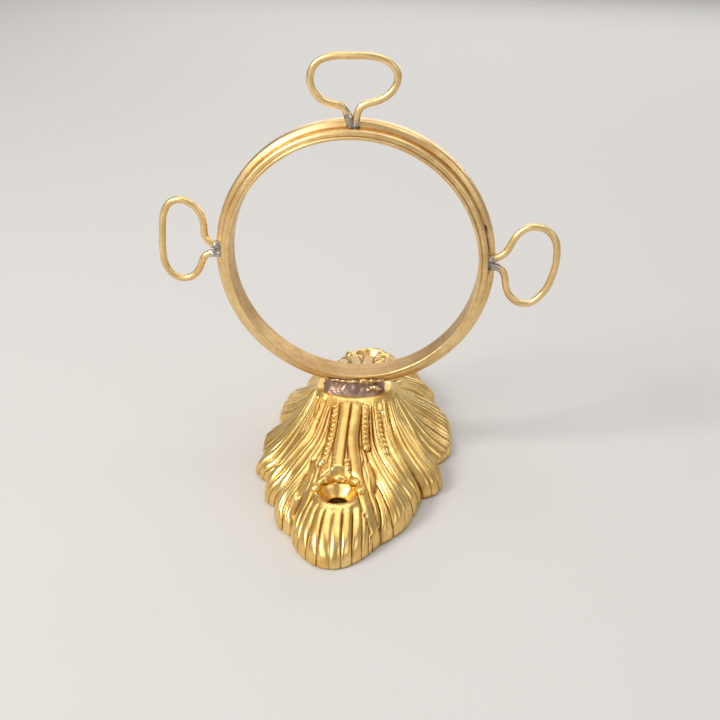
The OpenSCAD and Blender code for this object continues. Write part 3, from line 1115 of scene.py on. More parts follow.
    def rib_studs(
        self, place: np.ndarray, ridge: Ridge, sense: float, rng: np.random.Generator
    ) -> list[Skin]:
        """Square studs along one beaded rib, and the bulb at its end.

        Args:
            place: The skin, by row and column.
            ridge: The rib.
            sense: 1 for the near half, -1 for the far one.
            rng: Source of the studs' uneven sizes.

        Returns:
            Closed skins.
        """
        line = curve_through(ridge.line) * sense
        run = np.concatenate([[0], np.cumsum(np.hypot(*np.diff(line, axis=0).T))])
        at = np.arange(1.1, run[-1] - 0.4, ridge.pitch)
        spots, ahead = (
            np.stack([np.interp(at + step, run, line[:, axis]) for axis in (0, 1)], -1) for step in (0.0, 0.3)
        )
        middles, normals = self.ground(place, spots)
        fronts, _ = self.ground(place, ahead)
        parts = []
        for middle, normal, front in zip(middles, normals, fronts):
            way = front - middle
            way -= normal * float(way @ normal)
            way /= np.linalg.norm(way)
            axes = np.array([way, np.cross(normal, way), normal])
            size = np.array([ridge.pitch * 0.41, ridge.half * 0.86, 0.27]) * rng.uniform(0.9, 1.08, 3)
            parts.append(blob(middle, axes, size, 1, 0.0, 4.2, (7, 10)))
        if ridge.bulb:
            middle, normal = (value[0] for value in self.ground(place, line[-1:]))
            way = np.cross(normal, (1.0, 0, 0))
            way /= np.linalg.norm(way)
            axes = np.array([way, np.cross(normal, way), normal])
            size = np.array([ridge.bulb * 1.15, ridge.bulb * 0.95, 0.75])
            parts.append(blob(middle + normal * 0.1, axes, size, 3, 0.04, 2.0, (12, 18)))
        return parts

    def crest(self, place: np.ndarray, sense: float) -> list[Skin]:
        """Crest of lumps behind one screw hole.

        Args:
            place: The skin, by row and column.
            sense: 1 for the near half, -1 for the far one.

        Returns:
            Closed skins.
        """
        parts = []
        reach = self.countersink + 1.45
        for lump in CREST:
            a = math.radians(lump.turn)
            spot = np.array([[reach * math.cos(a), reach * math.sin(a) - self.screw_at]]) * sense
            middle, _ = self.ground(place, spot)
            cos, sin = math.cos(a) * sense, math.sin(a) * sense
            axes = np.array([[cos, sin, 0], [-sin, cos, 0], [0, 0, 1.0]])
            lift = np.array([0, 0, max(self.collar_height - float(middle[0, 2]), 0) - 0.30])
            size = np.array([1.5, 1.12 * lump.half, 0.68 * lump.half])
            parts.append(blob(middle[0] + lift, axes, size, int(lump.turn), 0.10, 2.3, (13, 20)))
        return parts

    def studs(self, place: np.ndarray) -> list[Skin]:
        """Everything that stands on the skin, on both halves.

        Args:
            place: The skin, by row and column.

        Returns:
            Closed skins that stand in the casting's surface.
        """
        parts = []
        rng = np.random.default_rng(5)
        for sense in (1.0, -1.0):
            for ridge in RIBS:
                parts += self.rib_studs(place, ridge, sense, rng)
            parts += self.crest(place, sense)
        return parts

    def hollow(self, plan: np.ndarray) -> np.ndarray:
        """The hollow back, from the rim inwards, on every second column.

        It follows the flank one wall thickness lower, drawn in by 0.8 mm at the platform to 2.2 mm
        at the rim, and dips round each screw hole to leave a boss.

        Args:
            plan: Plan positions of the skin, by row and column.

        Returns:
            Positions, by row and column.
        """
        steps = np.linspace(1, 0, 13)
        half = plan[:, ::2]
        sheet = spline(half, np.interp(steps, self.grid()[1], np.arange(len(plan))))
        inset = 2.2 * (0.35 + 0.65 * steps)[:, None, None]
        reach = np.linalg.norm(sheet, axis=-1, keepdims=True)
        inner = sheet * np.clip(1 - inset / reach, 0.1, 1)
        z = self.flank(sheet[..., 0], sheet[..., 1]) - self.wall
        boss = self.collar_height - self.countersink_depth - self.wall
        for sign in (-1, 1):
            r = np.hypot(inner[..., 0], inner[..., 1] - sign * self.screw_at)
            z = np.minimum(z, boss + (z - boss) * smooth(r, self.collar, self.collar + 1.2))
        place = np.concatenate([inner, np.maximum(z, 0.0)[..., None]], -1)
        place[0, :, 2] = 0.0
        return place

    def build(self, finish: bpy.types.Material) -> bpy.types.Object:
        """Makes the closed casting: platform, skin, rim, hollow back and both screw holes.

        Args:
            finish: The casting's material.

        Returns:
            The casting.
        """
        place, recess, plan = self.skin()
        columns = recess.shape[1]
        middle_z = self.height - 0.05
        top = np.concatenate([place[:1] * (share, share, 1) for share in (0.45, 0.85)])
        top[..., 2] = middle_z
        # Rim wall: from the edge of the skin down to the wall plane, tucked in at the bottom.
        inward = plan[-1:] / np.linalg.norm(plan[-1:], axis=-1, keepdims=True)
        wall = [
            np.concatenate([place[-1:, :, :2] - inward * tuck, place[-1:, :, 2:] * share], -1)
            for share, tuck in ((0.74, -0.08), (0.45, -0.06), (0.16, 0.12), (0.0, 0.36))
        ]
        outer = np.concatenate([top, place] + wall)
        back = self.hollow(plan)
        vertices = np.vstack([
            [[0, 0, middle_z]], outer.reshape(-1, 3), back.reshape(-1, 3), [[0, 0, self.height - self.wall]],
        ])
        j = np.arange(columns)
        cap = np.stack([1 + j, 1 + (j + 1) % columns, np.zeros(columns, int)], -1)
        i = np.arange(back.shape[1])
        nxt = (i + 1) % len(i)
        rim_row, first = 1 + (len(outer) - 1) * columns, 1 + len(outer) * columns
        a, b, c = rim_row + 2 * i, rim_row + 2 * i + 1, rim_row + (2 * i + 2) % columns
        d, e = first + i, first + nxt
        joint = np.concatenate([np.stack(corners, -1) for corners in ((d, b, a), (e, c, b), (d, e, b))])
        last_row = first + (len(back) - 1) * len(i)
        end = np.stack([last_row + i, last_row + nxt, np.full(len(i), len(vertices) - 1)], -1)
        faces = [quads(len(outer), columns, True, 1), quads(len(back), len(i), True, first), cap, joint, end]
        marks = np.concatenate([
            np.zeros(1 + len(top) * columns), recess.reshape(-1), np.tile(recess[-1] * 0.6 + 0.15, len(wall)),
            np.full(back[..., 0].size + 1, 0.55),
        ])
        piece = make_piece("rosette_casting", vertices, faces, {"recess": marks}, crease=60)
        self.drill(piece)
        self.stud(piece, place)
        dress(piece, finish, Slot.CASTING, "rosette")
        return piece

    def stud(self, piece: bpy.types.Object, place: np.ndarray) -> None:
        """Adds the studs and knobs to the casting's mesh.

        Args:
            piece: The casting.
            place: The skin, by row and column.
        """
        vertices, faces = merged(self.studs(place))
        extra = make_piece("rosette_studs", vertices, faces, {"recess": np.zeros(len(vertices))}, crease=60)
        joined = bmesh.new()
        joined.from_mesh(piece.data)
        joined.from_mesh(extra.data)
        joined.to_mesh(piece.data)
        joined.free()
        bpy.data.objects.remove(extra)

    def drill(self, piece: bpy.types.Object) -> None:
        """Cuts each screw hole and its countersink out of the casting.

        The cutter is one turned profile: the hole, the cone and the clearance above it. Its recess
        paints shade into the cut faces, full in the bore and fading up the cone.

        Args:
            piece: The casting.
        """
        hole, mouth, brim = self.screw_hole, self.countersink, self.collar_height
        floor = brim - self.countersink_depth
        profile = np.array([
            (hole, -5.0), (hole, floor - 0.35), (hole + 0.05, floor), (hole + 0.75, floor + 0.75),
            (mouth - 0.7, brim - 0.75), (mouth, brim), (mouth + 0.25, brim + 1.0), (mouth + 0.9, brim + 12),
        ])
        # Painted shade: full in the bore, fading up the countersink's cone to none at its mouth.
        dark = np.array([1.0, 1.0, 1.0, 0.45, 0.12, 0.0, 0.0, 0.0])
        sides = 64
        turns = np.linspace(0, 2 * math.pi, sides, endpoint=False)
        r, z = profile[:, :1], profile[:, 1:]
        j = np.arange(sides)
        nxt = (j + 1) % sides
        n = len(profile) * sides
        low = np.stack([np.full(sides, n), nxt, j], -1)
        high = np.stack([np.full(sides, n + 1), n - sides + j, n - sides + nxt], -1)
        faces = [quads(len(profile), sides, True), low, high]
        marks = {"recess": np.append(np.repeat(dark, sides), [0, 0])}
        cutters = []
        for number, sign in enumerate((-1, 1)):
            y = sign * self.screw_at
            uneven = 1 + 0.012 * np.sin(3 * turns + number) + 0.008 * np.sin(7 * turns + 2)
            round_x, round_y = r * np.cos(turns) * uneven, r * np.sin(turns) * uneven + y
            ring = np.stack(np.broadcast_arrays(round_x, round_y, z), -1)
            vertices = np.vstack([ring.reshape(-1, 3), [[0, y, profile[0, 1]], [0, y, profile[-1, 1]]]])
            cutter = make_piece(f"screw_cutter_{number}", vertices, faces, marks)
            modifier = piece.modifiers.new(f"screw_{number}", "BOOLEAN")
            modifier.operation, modifier.solver, modifier.object = "DIFFERENCE", "EXACT", cutter
            cutters.append(cutter)
        bpy.context.view_layer.update()
        solved = piece.evaluated_get(bpy.context.evaluated_depsgraph_get())
        cut = bpy.data.meshes.new_from_object(solved)
        piece.modifiers.clear()
        piece.data = cut
        cut.name = piece.name
        for cutter in cutters:
            bpy.data.objects.remove(cutter)


# ---------------------------------------------------------------- ring


@dataclass
class Ring:
    """Tumbler ring on a horizontal axis: a plain liner and a moulding round it."""

    centre_z: float
    front_y: float
    bore: float = 35.0
    liner: float = 0.9
    depth: float = 8.2
    turns: int = 448
    seed: int = 1

    def arc(self, cx: float, cy: float, radius: float, start: float, end: float, steps: int) -> np.ndarray:
        """Points on an arc, with angles in degrees from outwards towards the back."""
        a = np.radians(np.linspace(start, end, steps))
        return np.stack([cx + radius * np.cos(a), cy + radius * np.sin(a)], -1)

    def liner_profile(self) -> np.ndarray:
        """Section of the liner: a flat strip with eased edges.

        Returns:
            Radius and distance back from the lip, one row each.
        """
        r0, r1, d, e = self.bore, self.bore + self.liner, self.depth, 0.27
        return np.vstack([
            self.arc(r0 + e, e, e, 180, 270, 4), self.arc(r1 - e, e, e, 270, 360, 4),
            np.stack([np.full(4, r1), np.linspace(0.6, d - 0.4, 4)], -1),
            self.arc(r1 - e, d - e, e, 0, 90, 4), self.arc(r0 + e, d - e, e, 90, 180, 4),
            np.stack([np.full(8, r0), np.linspace(d - 0.6, 0.6, 8)], -1),
        ])

    def moulding_profile(self) -> np.ndarray:
        """Section of the moulding: strip, bead, cut, cove, fillet and rounded flange.

        Returns:
            Radius and distance back from the liner's lip, one row each.
        """
        base = self.bore + self.liner + 0.02
        return np.vstack([
            [(base, 7.6), (base, 5.0), (base, 2.5), (base, 0.95)],
            [(base + 0.06, 0.76), (base + 0.22, 0.72)],
            self.arc(base + 0.70, 1.66, 0.95, -112, 68, 15),
            [(base + 0.96, 2.62), (base + 0.84, 2.80), (base + 0.86, 2.98)],
            [(base + 1.02, 3.06), (base + 1.25, 3.16), (base + 1.52, 3.20)],
            [(base + 1.80, 3.14), (base + 2.02, 3.08)],
            [(base + 2.20, 3.10), (base + 2.34, 3.20)],
            self.arc(base + 2.10, 4.78, 1.54, -72, 0, 9),
            [(base + 3.645, 5.4), (base + 3.645, 6.2)],
            self.arc(base + 2.10, 6.66, 1.54, 4, 84, 9),
            [(base + 1.6, 8.2), (base + 0.4, 8.2), (base + 0.05, 8.1)],
        ])

    def turned(
        self, name: str, profile: np.ndarray, finish: bpy.types.Material, stain: np.ndarray
    ) -> bpy.types.Object:
        """Turns a closed section about the ring's axis.

        A section point at radius r and depth d goes to (r cos a, front + d, centre + r sin a). Slow
        ripples of 0.05 mm make it hand-turned. Recess is how far a point lies below the line
        between points a little before and after it in the section, or the stain where that is more.

        Args:
            name: CAD node that the piece stands for.
            profile: Section points, radius and distance back from the lip.
            finish: The ring's material.
            stain: Least recess at each section point, darker on the liner's inner face and dull on the worn
                flange.

        Returns:
            The piece.
        """
        a = np.linspace(0, 2 * math.pi, self.turns, endpoint=False)[:, None]
        r = profile[None, :, 0] + 0.04 * np.sin(2 * a + self.seed) + 0.02 * np.sin(5 * a + 2 * self.seed)
        d = profile[None, :, 1] + 0.03 * np.sin(3 * a + self.seed)
        place = np.stack([r * np.cos(a), self.front_y + d, self.centre_z + r * np.sin(a)], -1)
        n = len(profile)
        here = np.arange(n)
        last, nxt = (self.turns - 1) * n, (here + 1) % n
        faces = [quads(self.turns, n, True), np.stack([last + here, last + nxt, nxt, here], -1)]
        sag = []
        for k in (1, 3):
            before, after = np.roll(profile, k, 0), np.roll(profile, -k, 0)
            chord = (before + after) / 2 - profile
            way = np.roll(profile, -1, 0) - np.roll(profile, 1, 0)
            out = np.stack([way[:, 1], -way[:, 0]], -1) / (np.linalg.norm(way, axis=1)[:, None] + 1e-9)
            sag.append((chord * out).sum(1))
        hollow = np.clip(np.maximum(sag[0] * 3, sag[1]) * 2.2, 0, 1)
        streaks = ripple(place * (0.3, 3.0, 0.3), 9.0, self.seed + 8)
        # Darker towards the ring's bottom, with faint streaks.
        lower_darkening = 0.75 + 0.25 * np.cos(a + math.pi / 2) + 0.06 * streaks
        marks = np.clip(np.maximum(hollow[None, :], stain[None, :] * lower_darkening), 0, 1).reshape(-1)
        run = np.concatenate([[0], np.cumsum(np.linalg.norm(np.diff(profile, axis=0), axis=1))])
        along = np.abs(a - math.pi) * self.bore
        uv = np.stack(np.broadcast_arrays(along, run[None, :]), -1).reshape(-1, 2)
        piece = make_piece(f"{name}_band", place.reshape(-1, 3), faces, {"recess": marks}, uv, 50)
        dress(piece, finish, Slot.RING, name)
        return piece

    def build(self, finish: bpy.types.Material) -> list[bpy.types.Object]:
        """Makes the liner and the moulding.

        Args:
            finish: The ring's material.

        Returns:
            Both pieces.
        """
        section = self.liner_profile()
        inside = section[:, 0] < self.bore + 0.02
        liner = self.turned("ring_liner", section, finish, np.where(inside, 0.72, 0.0))
        section = self.moulding_profile()
        flange = section[:, 0] > self.bore + 3.2
        return [liner, self.turned("ring_moulding", section, finish, np.where(flange, 0.22, 0.0))]


# ---------------------------------------------------------------- loops


OUTER_SHAPE: Chain = (
    (-0.6, 0.2), (-1.15, 2.7), (-1.95, 4.9), (-3.1, 6.1), (-4.8, 6.4), (-6.6, 6.8), (-8.6, 7.8), (-10.3, 9.5),
    (-11.4, 12.2), (-10.9, 15.3), (-9.1, 17.6), (-5.6, 18.9), (-1.0, 19.2), (3.8, 19.2), (7.4, 18.6),
    (10.2, 17.0), (11.7, 14.4), (11.1, 11.4), (9.0, 9.0), (6.3, 7.6), (3.5, 6.8), (1.7, 5.5), (1.0, 3.6),
    (0.6, 0.2),
)
RIGHT_SHAPE: Chain = (
    (-1.8, 0.2), (-1.9, 1.2), (-2.2, 2.4), (-2.9, 3.9), (-4.2, 5.3), (-6.4, 6.4), (-8.8, 7.7), (-10.8, 9.8),
    (-11.6, 12.4), (-11.1, 15.2), (-9.4, 17.4), (-6.8, 18.7), (-3.8, 19.0), (-0.5, 18.8), (3.2, 18.0),
    (6.4, 16.8), (9.0, 15.0), (10.7, 12.9), (11.1, 10.7), (10.4, 8.5), (8.5, 6.6), (5.8, 5.6), (3.2, 5.2),
    (1.4, 4.4), (0.5, 3.0), (0.2, 1.5), (0.1, 0.2),
)
LEFT_SHAPE: Chain = (
    (0.95, 0.2), (1.1, 1.8), (1.5, 3.1), (2.3, 4.4), (3.7, 5.3), (5.6, 5.5), (7.9, 5.7), (10.4, 6.7),
    (12.7, 8.8), (13.8, 11.5), (13.4, 14.1), (11.9, 15.9), (9.4, 17.0), (6.4, 17.4), (3.0, 17.5),
    (-0.6, 17.6), (-3.8, 17.4), (-6.6, 16.6), (-8.7, 14.9), (-9.7, 12.3), (-9.2, 9.6), (-7.3, 7.6),
    (-5.0, 6.5), (-2.9, 5.8), (-1.7, 4.6), (-1.25, 3.1), (-1.15, 1.4), (-1.1, 0.2),
)


@dataclass(frozen=True)
class Coat:
    """Solder run along one leg of a loop: where it starts and ends from the foot, and its thickness."""

    first_leg: bool
    start: float
    end: float
    thick: float


@dataclass(frozen=True)
class Streak:
    """Thread of solder in the ring's groove, from one angle beside the loop to another."""

    start: float
    end: float
    thick: float


@dataclass
class Loop:
    """One toothbrush loop of hand-bent wire with both legs soldered into the ring's groove.

    The shape's corners are given in the loop's own plane: x along the ring's edge, clockwise seen
    from the front, and y away from the groove. Both legs come together in a V at the groove.
    """

    name: str
    angle: float
    shape: Chain
    centre_z: float
    plane_y: float
    seed: int
    coats: tuple[Coat, ...]
    runs: tuple[Streak, ...]
    wire: float = 1.0
    leg_foot: float = 37.2

    def path(self) -> np.ndarray:
        """Centre line in the loop's own plane: a Catmull-Rom curve, evened out by a running mean.

        Returns:
            Points at even distances, y counted from the ring's centre.
        """
        corners = np.array(self.shape) + (0.0, self.leg_foot)
        whole = spline(corners, np.linspace(0, len(corners) - 1, 400))
        run = np.concatenate([[0], np.cumsum(np.hypot(*np.diff(whole, axis=0).T))])
        even = np.linspace(0, run[-1], 281)
        line = np.stack([np.interp(even, run, whole[:, 0]), np.interp(even, run, whole[:, 1])], -1)
        for _ in range(10):
            line[1:-1] = (line[:-2] + 2 * line[1:-1] + line[2:]) / 4
        return line

    def carry(self, line: np.ndarray) -> tuple[np.ndarray, np.ndarray, np.ndarray]:
        """Carries the path round the ring.

        Args:
            line: Points in the loop's own plane.

        Returns:
            Path points, the plane's normal, and the direction away from the ring's centre.
        """
        a = math.radians(self.angle)
        outward = np.array([math.cos(a), 0.0, math.sin(a)])
        across = np.array([math.sin(a), 0.0, -math.cos(a)])
        middle = np.array([0, self.plane_y, self.centre_z])
        bow = 0.12 * np.sin(line[:, :1] * 0.33 + self.seed) * np.clip((line[:, 1:] - 40) / 8, 0, 1)
        place = middle + line[:, :1] * across + line[:, 1:] * outward + bow * np.array([0, 1.0, 0])
        return place, np.array([0, 1.0, 0]), outward

    def coat(self, line: np.ndarray, run: Coat) -> Skin:
        """Solder run along one leg: a skin round the wire that is thick at the groove and ragged at its ends.

        With s from 0 at the start to 1 at the end, the radius is
        wire + thick * sin(pi (0.8 s + 0.2))^0.7 + 0.13 (0.35 + s) ripple, less up to 0.2 where s is
        above 0.6, so the skin sinks into the wire along an uneven border.

        Args:
            line: The wire's path points.
            run: The solder run.

        Returns:
            Vertices and faces.
        """
        leg = line if run.first_leg else line[::-1]
        length = np.concatenate([[0], np.cumsum(np.linalg.norm(np.diff(leg, axis=0), axis=1))])
        rows, sides = 40, 24
        at = np.linspace(run.start, run.end, rows)
        points = np.stack([np.interp(at, length, leg[:, axis]) for axis in range(3)], -1)
        turn = np.linspace(0, 2 * math.pi, sides, endpoint=False)
        s = np.linspace(0, 1, rows)[:, None]
        spots = np.stack(np.broadcast_arrays(at[:, None] * 0.8, np.cos(turn) * 1.1, np.sin(turn) * 1.1), -1)
        uneven = ripple(spots, 2.3, self.seed + int(run.first_leg) * 3 + int(run.start * 10))
        swell = run.thick * np.sin(math.pi * np.clip(s * 0.8 + 0.2, 0, 1)) ** 0.7
        radius = self.wire + swell + 0.13 * uneven * (0.35 + s) - 0.20 * smooth(s, 0.6, 1.0)
        vertices, faces, _ = tube(points, radius, sides, np.array([0, 1.0, 0]))
        return vertices, faces

    def streak(self, run: Streak) -> Skin:
        """Solder that ran along the ring's groove, as a thin uneven thread.

        Args:
            run: The thread.

        Returns:
            Vertices and faces.
        """
        groove, rows = 38.05, 60
        a = np.radians(self.angle + np.linspace(run.start, run.end, rows))[:, None]
        points = np.concatenate([groove * np.cos(a), np.zeros_like(a), groove * np.sin(a)], -1)
        points = points + (0, self.plane_y + 0.1, self.centre_z)
        swell = np.sin(math.pi * np.linspace(0.04, 0.96, rows)) ** 0.5
        radius = run.thick * swell * (1 + 0.25 * ripple(points, 4.0, self.seed + 6))
        vertices, faces, _ = tube(points, radius, 14, np.array([0, 1.0, 0]))
        return vertices, faces

    def build(
        self, wire_finish: bpy.types.Material, solder_finish: bpy.types.Material
    ) -> list[bpy.types.Object]:
        """Makes the wire and the solder on its legs: a root in the groove, a web, runs and threads.

        Args:
            wire_finish: The wire's material.
            solder_finish: The solder's material.

        Returns:
            Both pieces.
        """
        line, normal, outward = self.carry(self.path())
        share = np.linspace(0, 1, len(line))
        uneven = 0.012 * np.sin(share * 37 + self.seed) + 0.008 * np.sin(share * 90 + 2 * self.seed)
        vertices, faces, uv = tube(line, self.wire * (1 + uneven), 20, normal)
        centre = np.array([0, self.centre_z])
        foot = np.linalg.norm(vertices[:, [0, 2]] - centre, axis=1)
        recess = np.clip((42.0 - foot) / 3.0, 0, 1) * 0.7
        wire = make_piece(f"{self.name}_loop_wire", vertices, faces, {"recess": recess}, uv)
        dress(wire, wire_finish, Slot.WIRE, f"{self.name}_loop")
        across = np.cross(normal, outward)
        middle = np.array([0, self.plane_y, self.centre_z])
        lean = (np.array(self.shape[0]) + np.array(self.shape[-1]))[0] / 2
        axes = np.array([across, normal, outward])
        parts = [
            blob(middle + outward * up - across * lean, axes, np.array(half), self.seed + extra, rough, power)
            for up, half, extra, rough, power in (
                (37.8, (1.55, 1.0, 0.8), 0, 0.12, 2.4),
                (38.6, (0.45, 0.5, 1.1), 2, 0.07, 2.0),
            )
        ]
        parts += [self.coat(line, run) for run in self.coats] + [self.streak(run) for run in self.runs]
        place, skins = merged(parts)
        depth = np.linalg.norm(place[:, [0, 2]] - centre, axis=1)
        patches = np.clip(ripple(place, 3.0, self.seed + 4), 0, 1)
        stain = np.clip(np.clip((38.6 - depth) / 1.8, 0, 0.45) + 0.55 * patches, 0, 1)
        solder = make_piece(f"{self.name}_leg_solder", place, skins, {"recess": stain})
        dress(solder, solder_finish, Slot.BRIGHT_SOLDER, f"{self.name}_solder")
        return [wire, solder]


# ---------------------------------------------------------------- solder under the ring


@dataclass(frozen=True)
class Drop:
    """Drop of braze: its place, its half sizes and the seed of its skin."""

    at: tuple[float, ...]
    half: tuple[float, float, float]
    seed: int


# Along the ring's front edge: degrees from the seam, and the radius on the ring.
SEAM_DROPS = (
    Drop((0.0, 36.85), (1.6, 0.68, 0.95), 21),
    Drop((3.6, 36.95), (1.6, 0.36, 0.66), 22),
    Drop((7.2, 37.1), (1.3, 0.28, 0.5), 23),
    Drop((-3.9, 37.0), (1.8, 0.34, 0.62), 24),
    Drop((-8.2, 37.1), (1.9, 0.30, 0.55), 26),
    Drop((-12.6, 37.15), (1.8, 0.26, 0.46), 27),
    Drop((-16.6, 37.2), (1.4, 0.2, 0.36), 28),
)
# On the solder's right end: across, back from the ring's front edge, and up from the platform.
END_DROPS = (
    Drop((6.5, -0.1, 1.75), (1.5, 0.9, 0.9), 41),
    Drop((4.7, -0.6, 1.3), (0.9, 0.7, 0.6), 42),
    Drop((7.6, 0.8, 1.2), (1.0, 0.8, 0.7), 43),
)


@dataclass
class FootJoint:
    """Solder between platform and ring, and the braze at the ring's seam."""

    platform_z: float
    ring_z: float
    middle_y: float
    bead: float = 37.4
    half: tuple[float, float] = (9.4, 7.1)
    seam_angle: float = -84.6

    def joint(self) -> tuple[np.ndarray, list[np.ndarray], np.ndarray]:
        """Skin of the solder: a hollow-sided heap from the platform up into the ring's underside.

        Row share v runs from 0 to 1 upwards. The plan is a superellipse whose half depth falls from
        7.1 to 4.2 mm as (1 - v)^1.8 and whose half width is 9.4 mm, narrower by 1.1 sin(pi v) and
        flared by 0.9 v^3 where it wets the ring. The top follows the ring's underside.

        Returns:
            Vertices, faces and recess, which paints shade where the solder meets the platform and the ring.
        """
        rows, columns = 40, 200
        v = np.linspace(0, 1, rows)[:, None]
        a = np.linspace(0, 2 * math.pi, columns, endpoint=False)[None, :]
        deep = 4.2 + (self.half[1] - 4.2) * (1 - v) ** 1.8
        wide = self.half[0] - 1.1 * np.sin(math.pi * v) + 0.9 * v**3
        x = wide * np.sign(np.cos(a)) * np.abs(np.cos(a)) ** 0.75
        y = deep * np.sign(np.sin(a)) * np.abs(np.sin(a)) ** 0.75
        low = self.platform_z - 0.35
        high = self.ring_z - np.sqrt(self.bead**2 - x**2) + 0.25
        z = low + (high - low) * v
        place = np.stack([x, y, z], -1)
        swell = 0.17 * ripple(place, 3.6, 5) + 0.09 * ripple(place, 1.5, 6) + 0.04 * ripple(place, 0.8, 7)
        place[..., :2] *= 1 + (swell / np.maximum(np.hypot(x, y), 2.0))[..., None]
        place[..., 1] += self.middle_y
        poles = [[0, self.middle_y, low], [0, self.middle_y, float(high.min())]]
        vertices = np.vstack([place.reshape(-1, 3), poles])
        j = np.arange(columns)
        n = rows * columns
        base = np.stack([np.full(columns, n), (j + 1) % columns, j], -1)
        top = np.stack([np.full(columns, n + 1), n - columns + j, n - columns + (j + 1) % columns], -1)
        # Painted shade: darker where the solder meets the platform and under the ring's overhang, over an
        # even 0.15; the ripples make its lumps lighter.
        join_shade = 0.15 + 0.4 * smooth(v, 0.10, 0.0) + 0.15 * smooth(v, 0.6, 0.95)
        recess = np.clip(join_shade - 1.2 * swell, 0, 1)
        return vertices, [quads(rows, columns, True), base, top], np.append(recess.reshape(-1), [0, 0])

    def beads(self, front: float) -> list[Skin]:
        """Braze beside the seam: flat drops along the ring's front edge, lumps on the solder's right end.

        Args:
            front: Position of the ring's front edge.

        Returns:
            Closed skins, the seam's own drop first.
        """
        parts = []
        for drop in SEAM_DROPS:
            t, radius = math.radians(self.seam_angle + drop.at[0]), drop.at[1]
            axes = np.array([[-math.sin(t), 0, math.cos(t)], [0, 1.0, 0], [math.cos(t), 0, math.sin(t)]])
            centre = np.array([radius * math.cos(t), front + 0.12, self.ring_z + radius * math.sin(t)])
            parts.append(blob(centre, axes, np.array(drop.half), drop.seed, 0.09))
        for drop in END_DROPS:
            centre = np.array(drop.at) + (0, front, self.platform_z)
            parts.append(blob(centre, np.eye(3), np.array(drop.half), drop.seed, 0.13))
        return parts

    def build(self, dark: bpy.types.Material, braze: bpy.types.Material) -> list[bpy.types.Object]:
        """Makes both pieces of solder.

        Args:
            dark: The solder's material.
            braze: The braze's material.

        Returns:
            Both pieces.
        """
        vertices, faces, recess = self.joint()
        solder = make_piece("foot_solder_joint", vertices, faces, {"recess": recess}, crease=80)
        dress(solder, dark, Slot.DARK_SOLDER, "foot_solder")
        front = float(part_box("ring_liner")[0][1]) / MM
        place, skins = merged(self.beads(front))
        stain = np.clip(0.35 * ripple(place, 1.6, 4), 0, 1)
        drop = make_piece("ring_seam_drop", place, skins, {"recess": stain})
        dress(drop, braze, Slot.BRAZE, "ring_seam_braze")
        return [solder, drop]


# ---------------------------------------------------------------- studio


@dataclass(frozen=True)
class Lamp:
    """Rectangular soft light: its place, size, power in watts and colour."""

    name: str
    at: tuple[float, float, float]
    width: float
    depth: float
    power: float
    colour: tuple[float, float, float]


LAMPS = (
    Lamp("key", (-0.75, -0.45, 0.75), 0.35, 0.35, 8.5, (1.0, 0.96, 0.90)),
    Lamp("window", (-0.55, -0.95, 0.50), 0.7, 0.6, 2.6, (1.0, 0.97, 0.92)),
    Lamp("fill", (0.85, -0.65, 0.55), 0.6, 0.6, 1.6, (1.0, 0.98, 0.95)),
    Lamp("overhead", (0.05, 0.15, 1.1), 1.3, 0.9, 6.0, (1.0, 0.99, 0.97)),
    Lamp("strip", (0.15, 0.95, 0.35), 1.2, 0.3, 2.5, (1.0, 1.0, 1.0)),
)


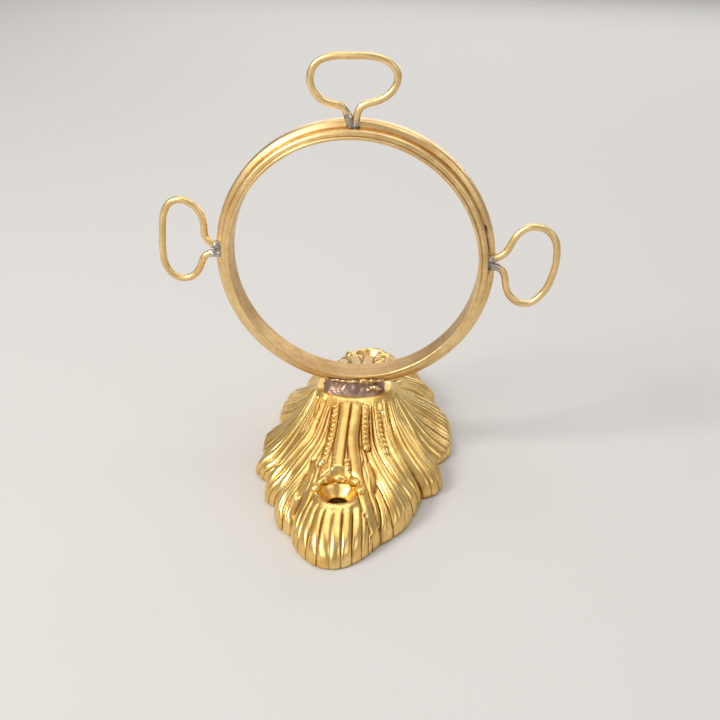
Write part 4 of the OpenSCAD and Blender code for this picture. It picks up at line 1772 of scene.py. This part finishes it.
@dataclass
class Studio:
    """Pale floor, soft lights and the camera."""

    camera_at: tuple[float, float, float] = (0.0316, -0.2853, 0.1725)
    heading: float = 6.0
    pitch: float = 26.3
    lens: float = 54.1

    def build(self) -> None:
        """Makes everything round the object."""
        self._floor()
        self._lights()
        self._camera()

    def _floor(self) -> None:
        """A pale plain floor at the wall plane."""
        vertices = np.array([(-1, -1, 0), (1, -1, 0), (1, 1, 0), (-1, 1, 0)], float) * 2.5
        mesh = bpy.data.meshes.new("pale_floor")
        mesh.from_pydata(vertices.tolist(), [], [(0, 1, 2, 3)])
        floor = bpy.data.objects.new("pale_floor", mesh)
        bpy.context.scene.collection.objects.link(floor)
        material = bpy.data.materials.new("pale_floor")
        material.use_nodes = True
        shader = material.node_tree.nodes["Principled BSDF"]
        shader.inputs["Base Color"].default_value = (0.56, 0.55, 0.54, 1)
        shader.inputs["Roughness"].default_value = 0.7
        mesh.materials.append(material)

    def _light(self, lamp: Lamp) -> None:
        """One rectangular soft light aimed at the object.

        Args:
            lamp: The light's place, size, power and colour.
        """
        data = bpy.data.lights.new(lamp.name, "AREA")
        data.shape, data.size, data.size_y = "RECTANGLE", lamp.width, lamp.depth
        data.energy, data.color = lamp.power, lamp.colour
        piece = bpy.data.objects.new(lamp.name, data)
        bpy.context.scene.collection.objects.link(piece)
        piece.location = lamp.at
        aim = Vector((0, 0, 0.04)) - Vector(lamp.at)
        piece.rotation_euler = aim.to_track_quat("-Z", "Y").to_euler()

    def _lights(self) -> None:
        """Puts the lamps up and makes the dim room round them."""
        for lamp in LAMPS:
            self._light(lamp)
        world = bpy.data.worlds.new("room")
        world.use_nodes = True
        world.node_tree.nodes["Background"].inputs[0].default_value = (0.74, 0.73, 0.72, 1)
        world.node_tree.nodes["Background"].inputs[1].default_value = 0.49
        bpy.context.scene.world = world

    def _camera(self) -> None:
        """The camera, pitched down and turned a little to the left."""
        data = bpy.data.cameras.new("camera")
        data.lens, data.sensor_width = self.lens, 36.0
        camera = bpy.data.objects.new("camera", data)
        bpy.context.scene.collection.objects.link(camera)
        camera.location = self.camera_at
        camera.rotation_euler = (math.radians(90 - self.pitch), 0, math.radians(self.heading))
        bpy.context.scene.camera = camera
        bpy.context.scene.view_settings.view_transform = "Standard"


def main() -> None:
    logging.basicConfig(level=logging.INFO, format="%(message)s")
    effects = SurfaceEffects.build()
    gilt, ring_brass, wire_brass = GILT.build(effects), RING_BRASS.build(effects), WIRE_BRASS.build(effects)
    braze, dark, bright = BRAZE.build(effects), DARK_SOLDER.build(effects), BRIGHT_SOLDER.build(effects)
    high = np.array(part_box("rosette")[1]) / MM
    Rosette(float(high[0]), float(high[1]), float(high[2])).build(gilt)
    ring_low, ring_high = (np.array(corner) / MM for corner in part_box("ring_liner"))
    centre_z, front_y = float((ring_low[2] + ring_high[2]) / 2), float(ring_low[1])
    Ring(centre_z, front_y).build(ring_brass)
    place = (centre_z, front_y + 3.2)
    for loop in (
        Loop(
            "left", 177.4, LEFT_SHAPE, *place, 11,
            (Coat(True, 0.4, 3.4, 0.05), Coat(False, 0.4, 5.0, 0.16)), (Streak(-6.0, 5.0, 0.22),),
        ),
        Loop(
            "outer", 90.0, OUTER_SHAPE, *place, 23,
            (Coat(True, 0.4, 5.6, 0.13), Coat(False, 0.4, 3.4, 0.08)), (Streak(-4.5, 4.0, 0.25),),
        ),
        Loop(
            "right", 0.0, RIGHT_SHAPE, *place, 37,
            (Coat(True, 0.4, 2.2, 0.08), Coat(False, 0.4, 4.2, 0.12)),
            (Streak(3.0, 19.0, 0.36), Streak(-6.0, 3.0, 0.24)),
        ),
    ):
        loop.build(wire_brass, bright)
    FootJoint(float(high[2]), centre_z, front_y + 4.0).build(dark, braze)
    Studio().build()


if __name__ == "__main__":
    main()
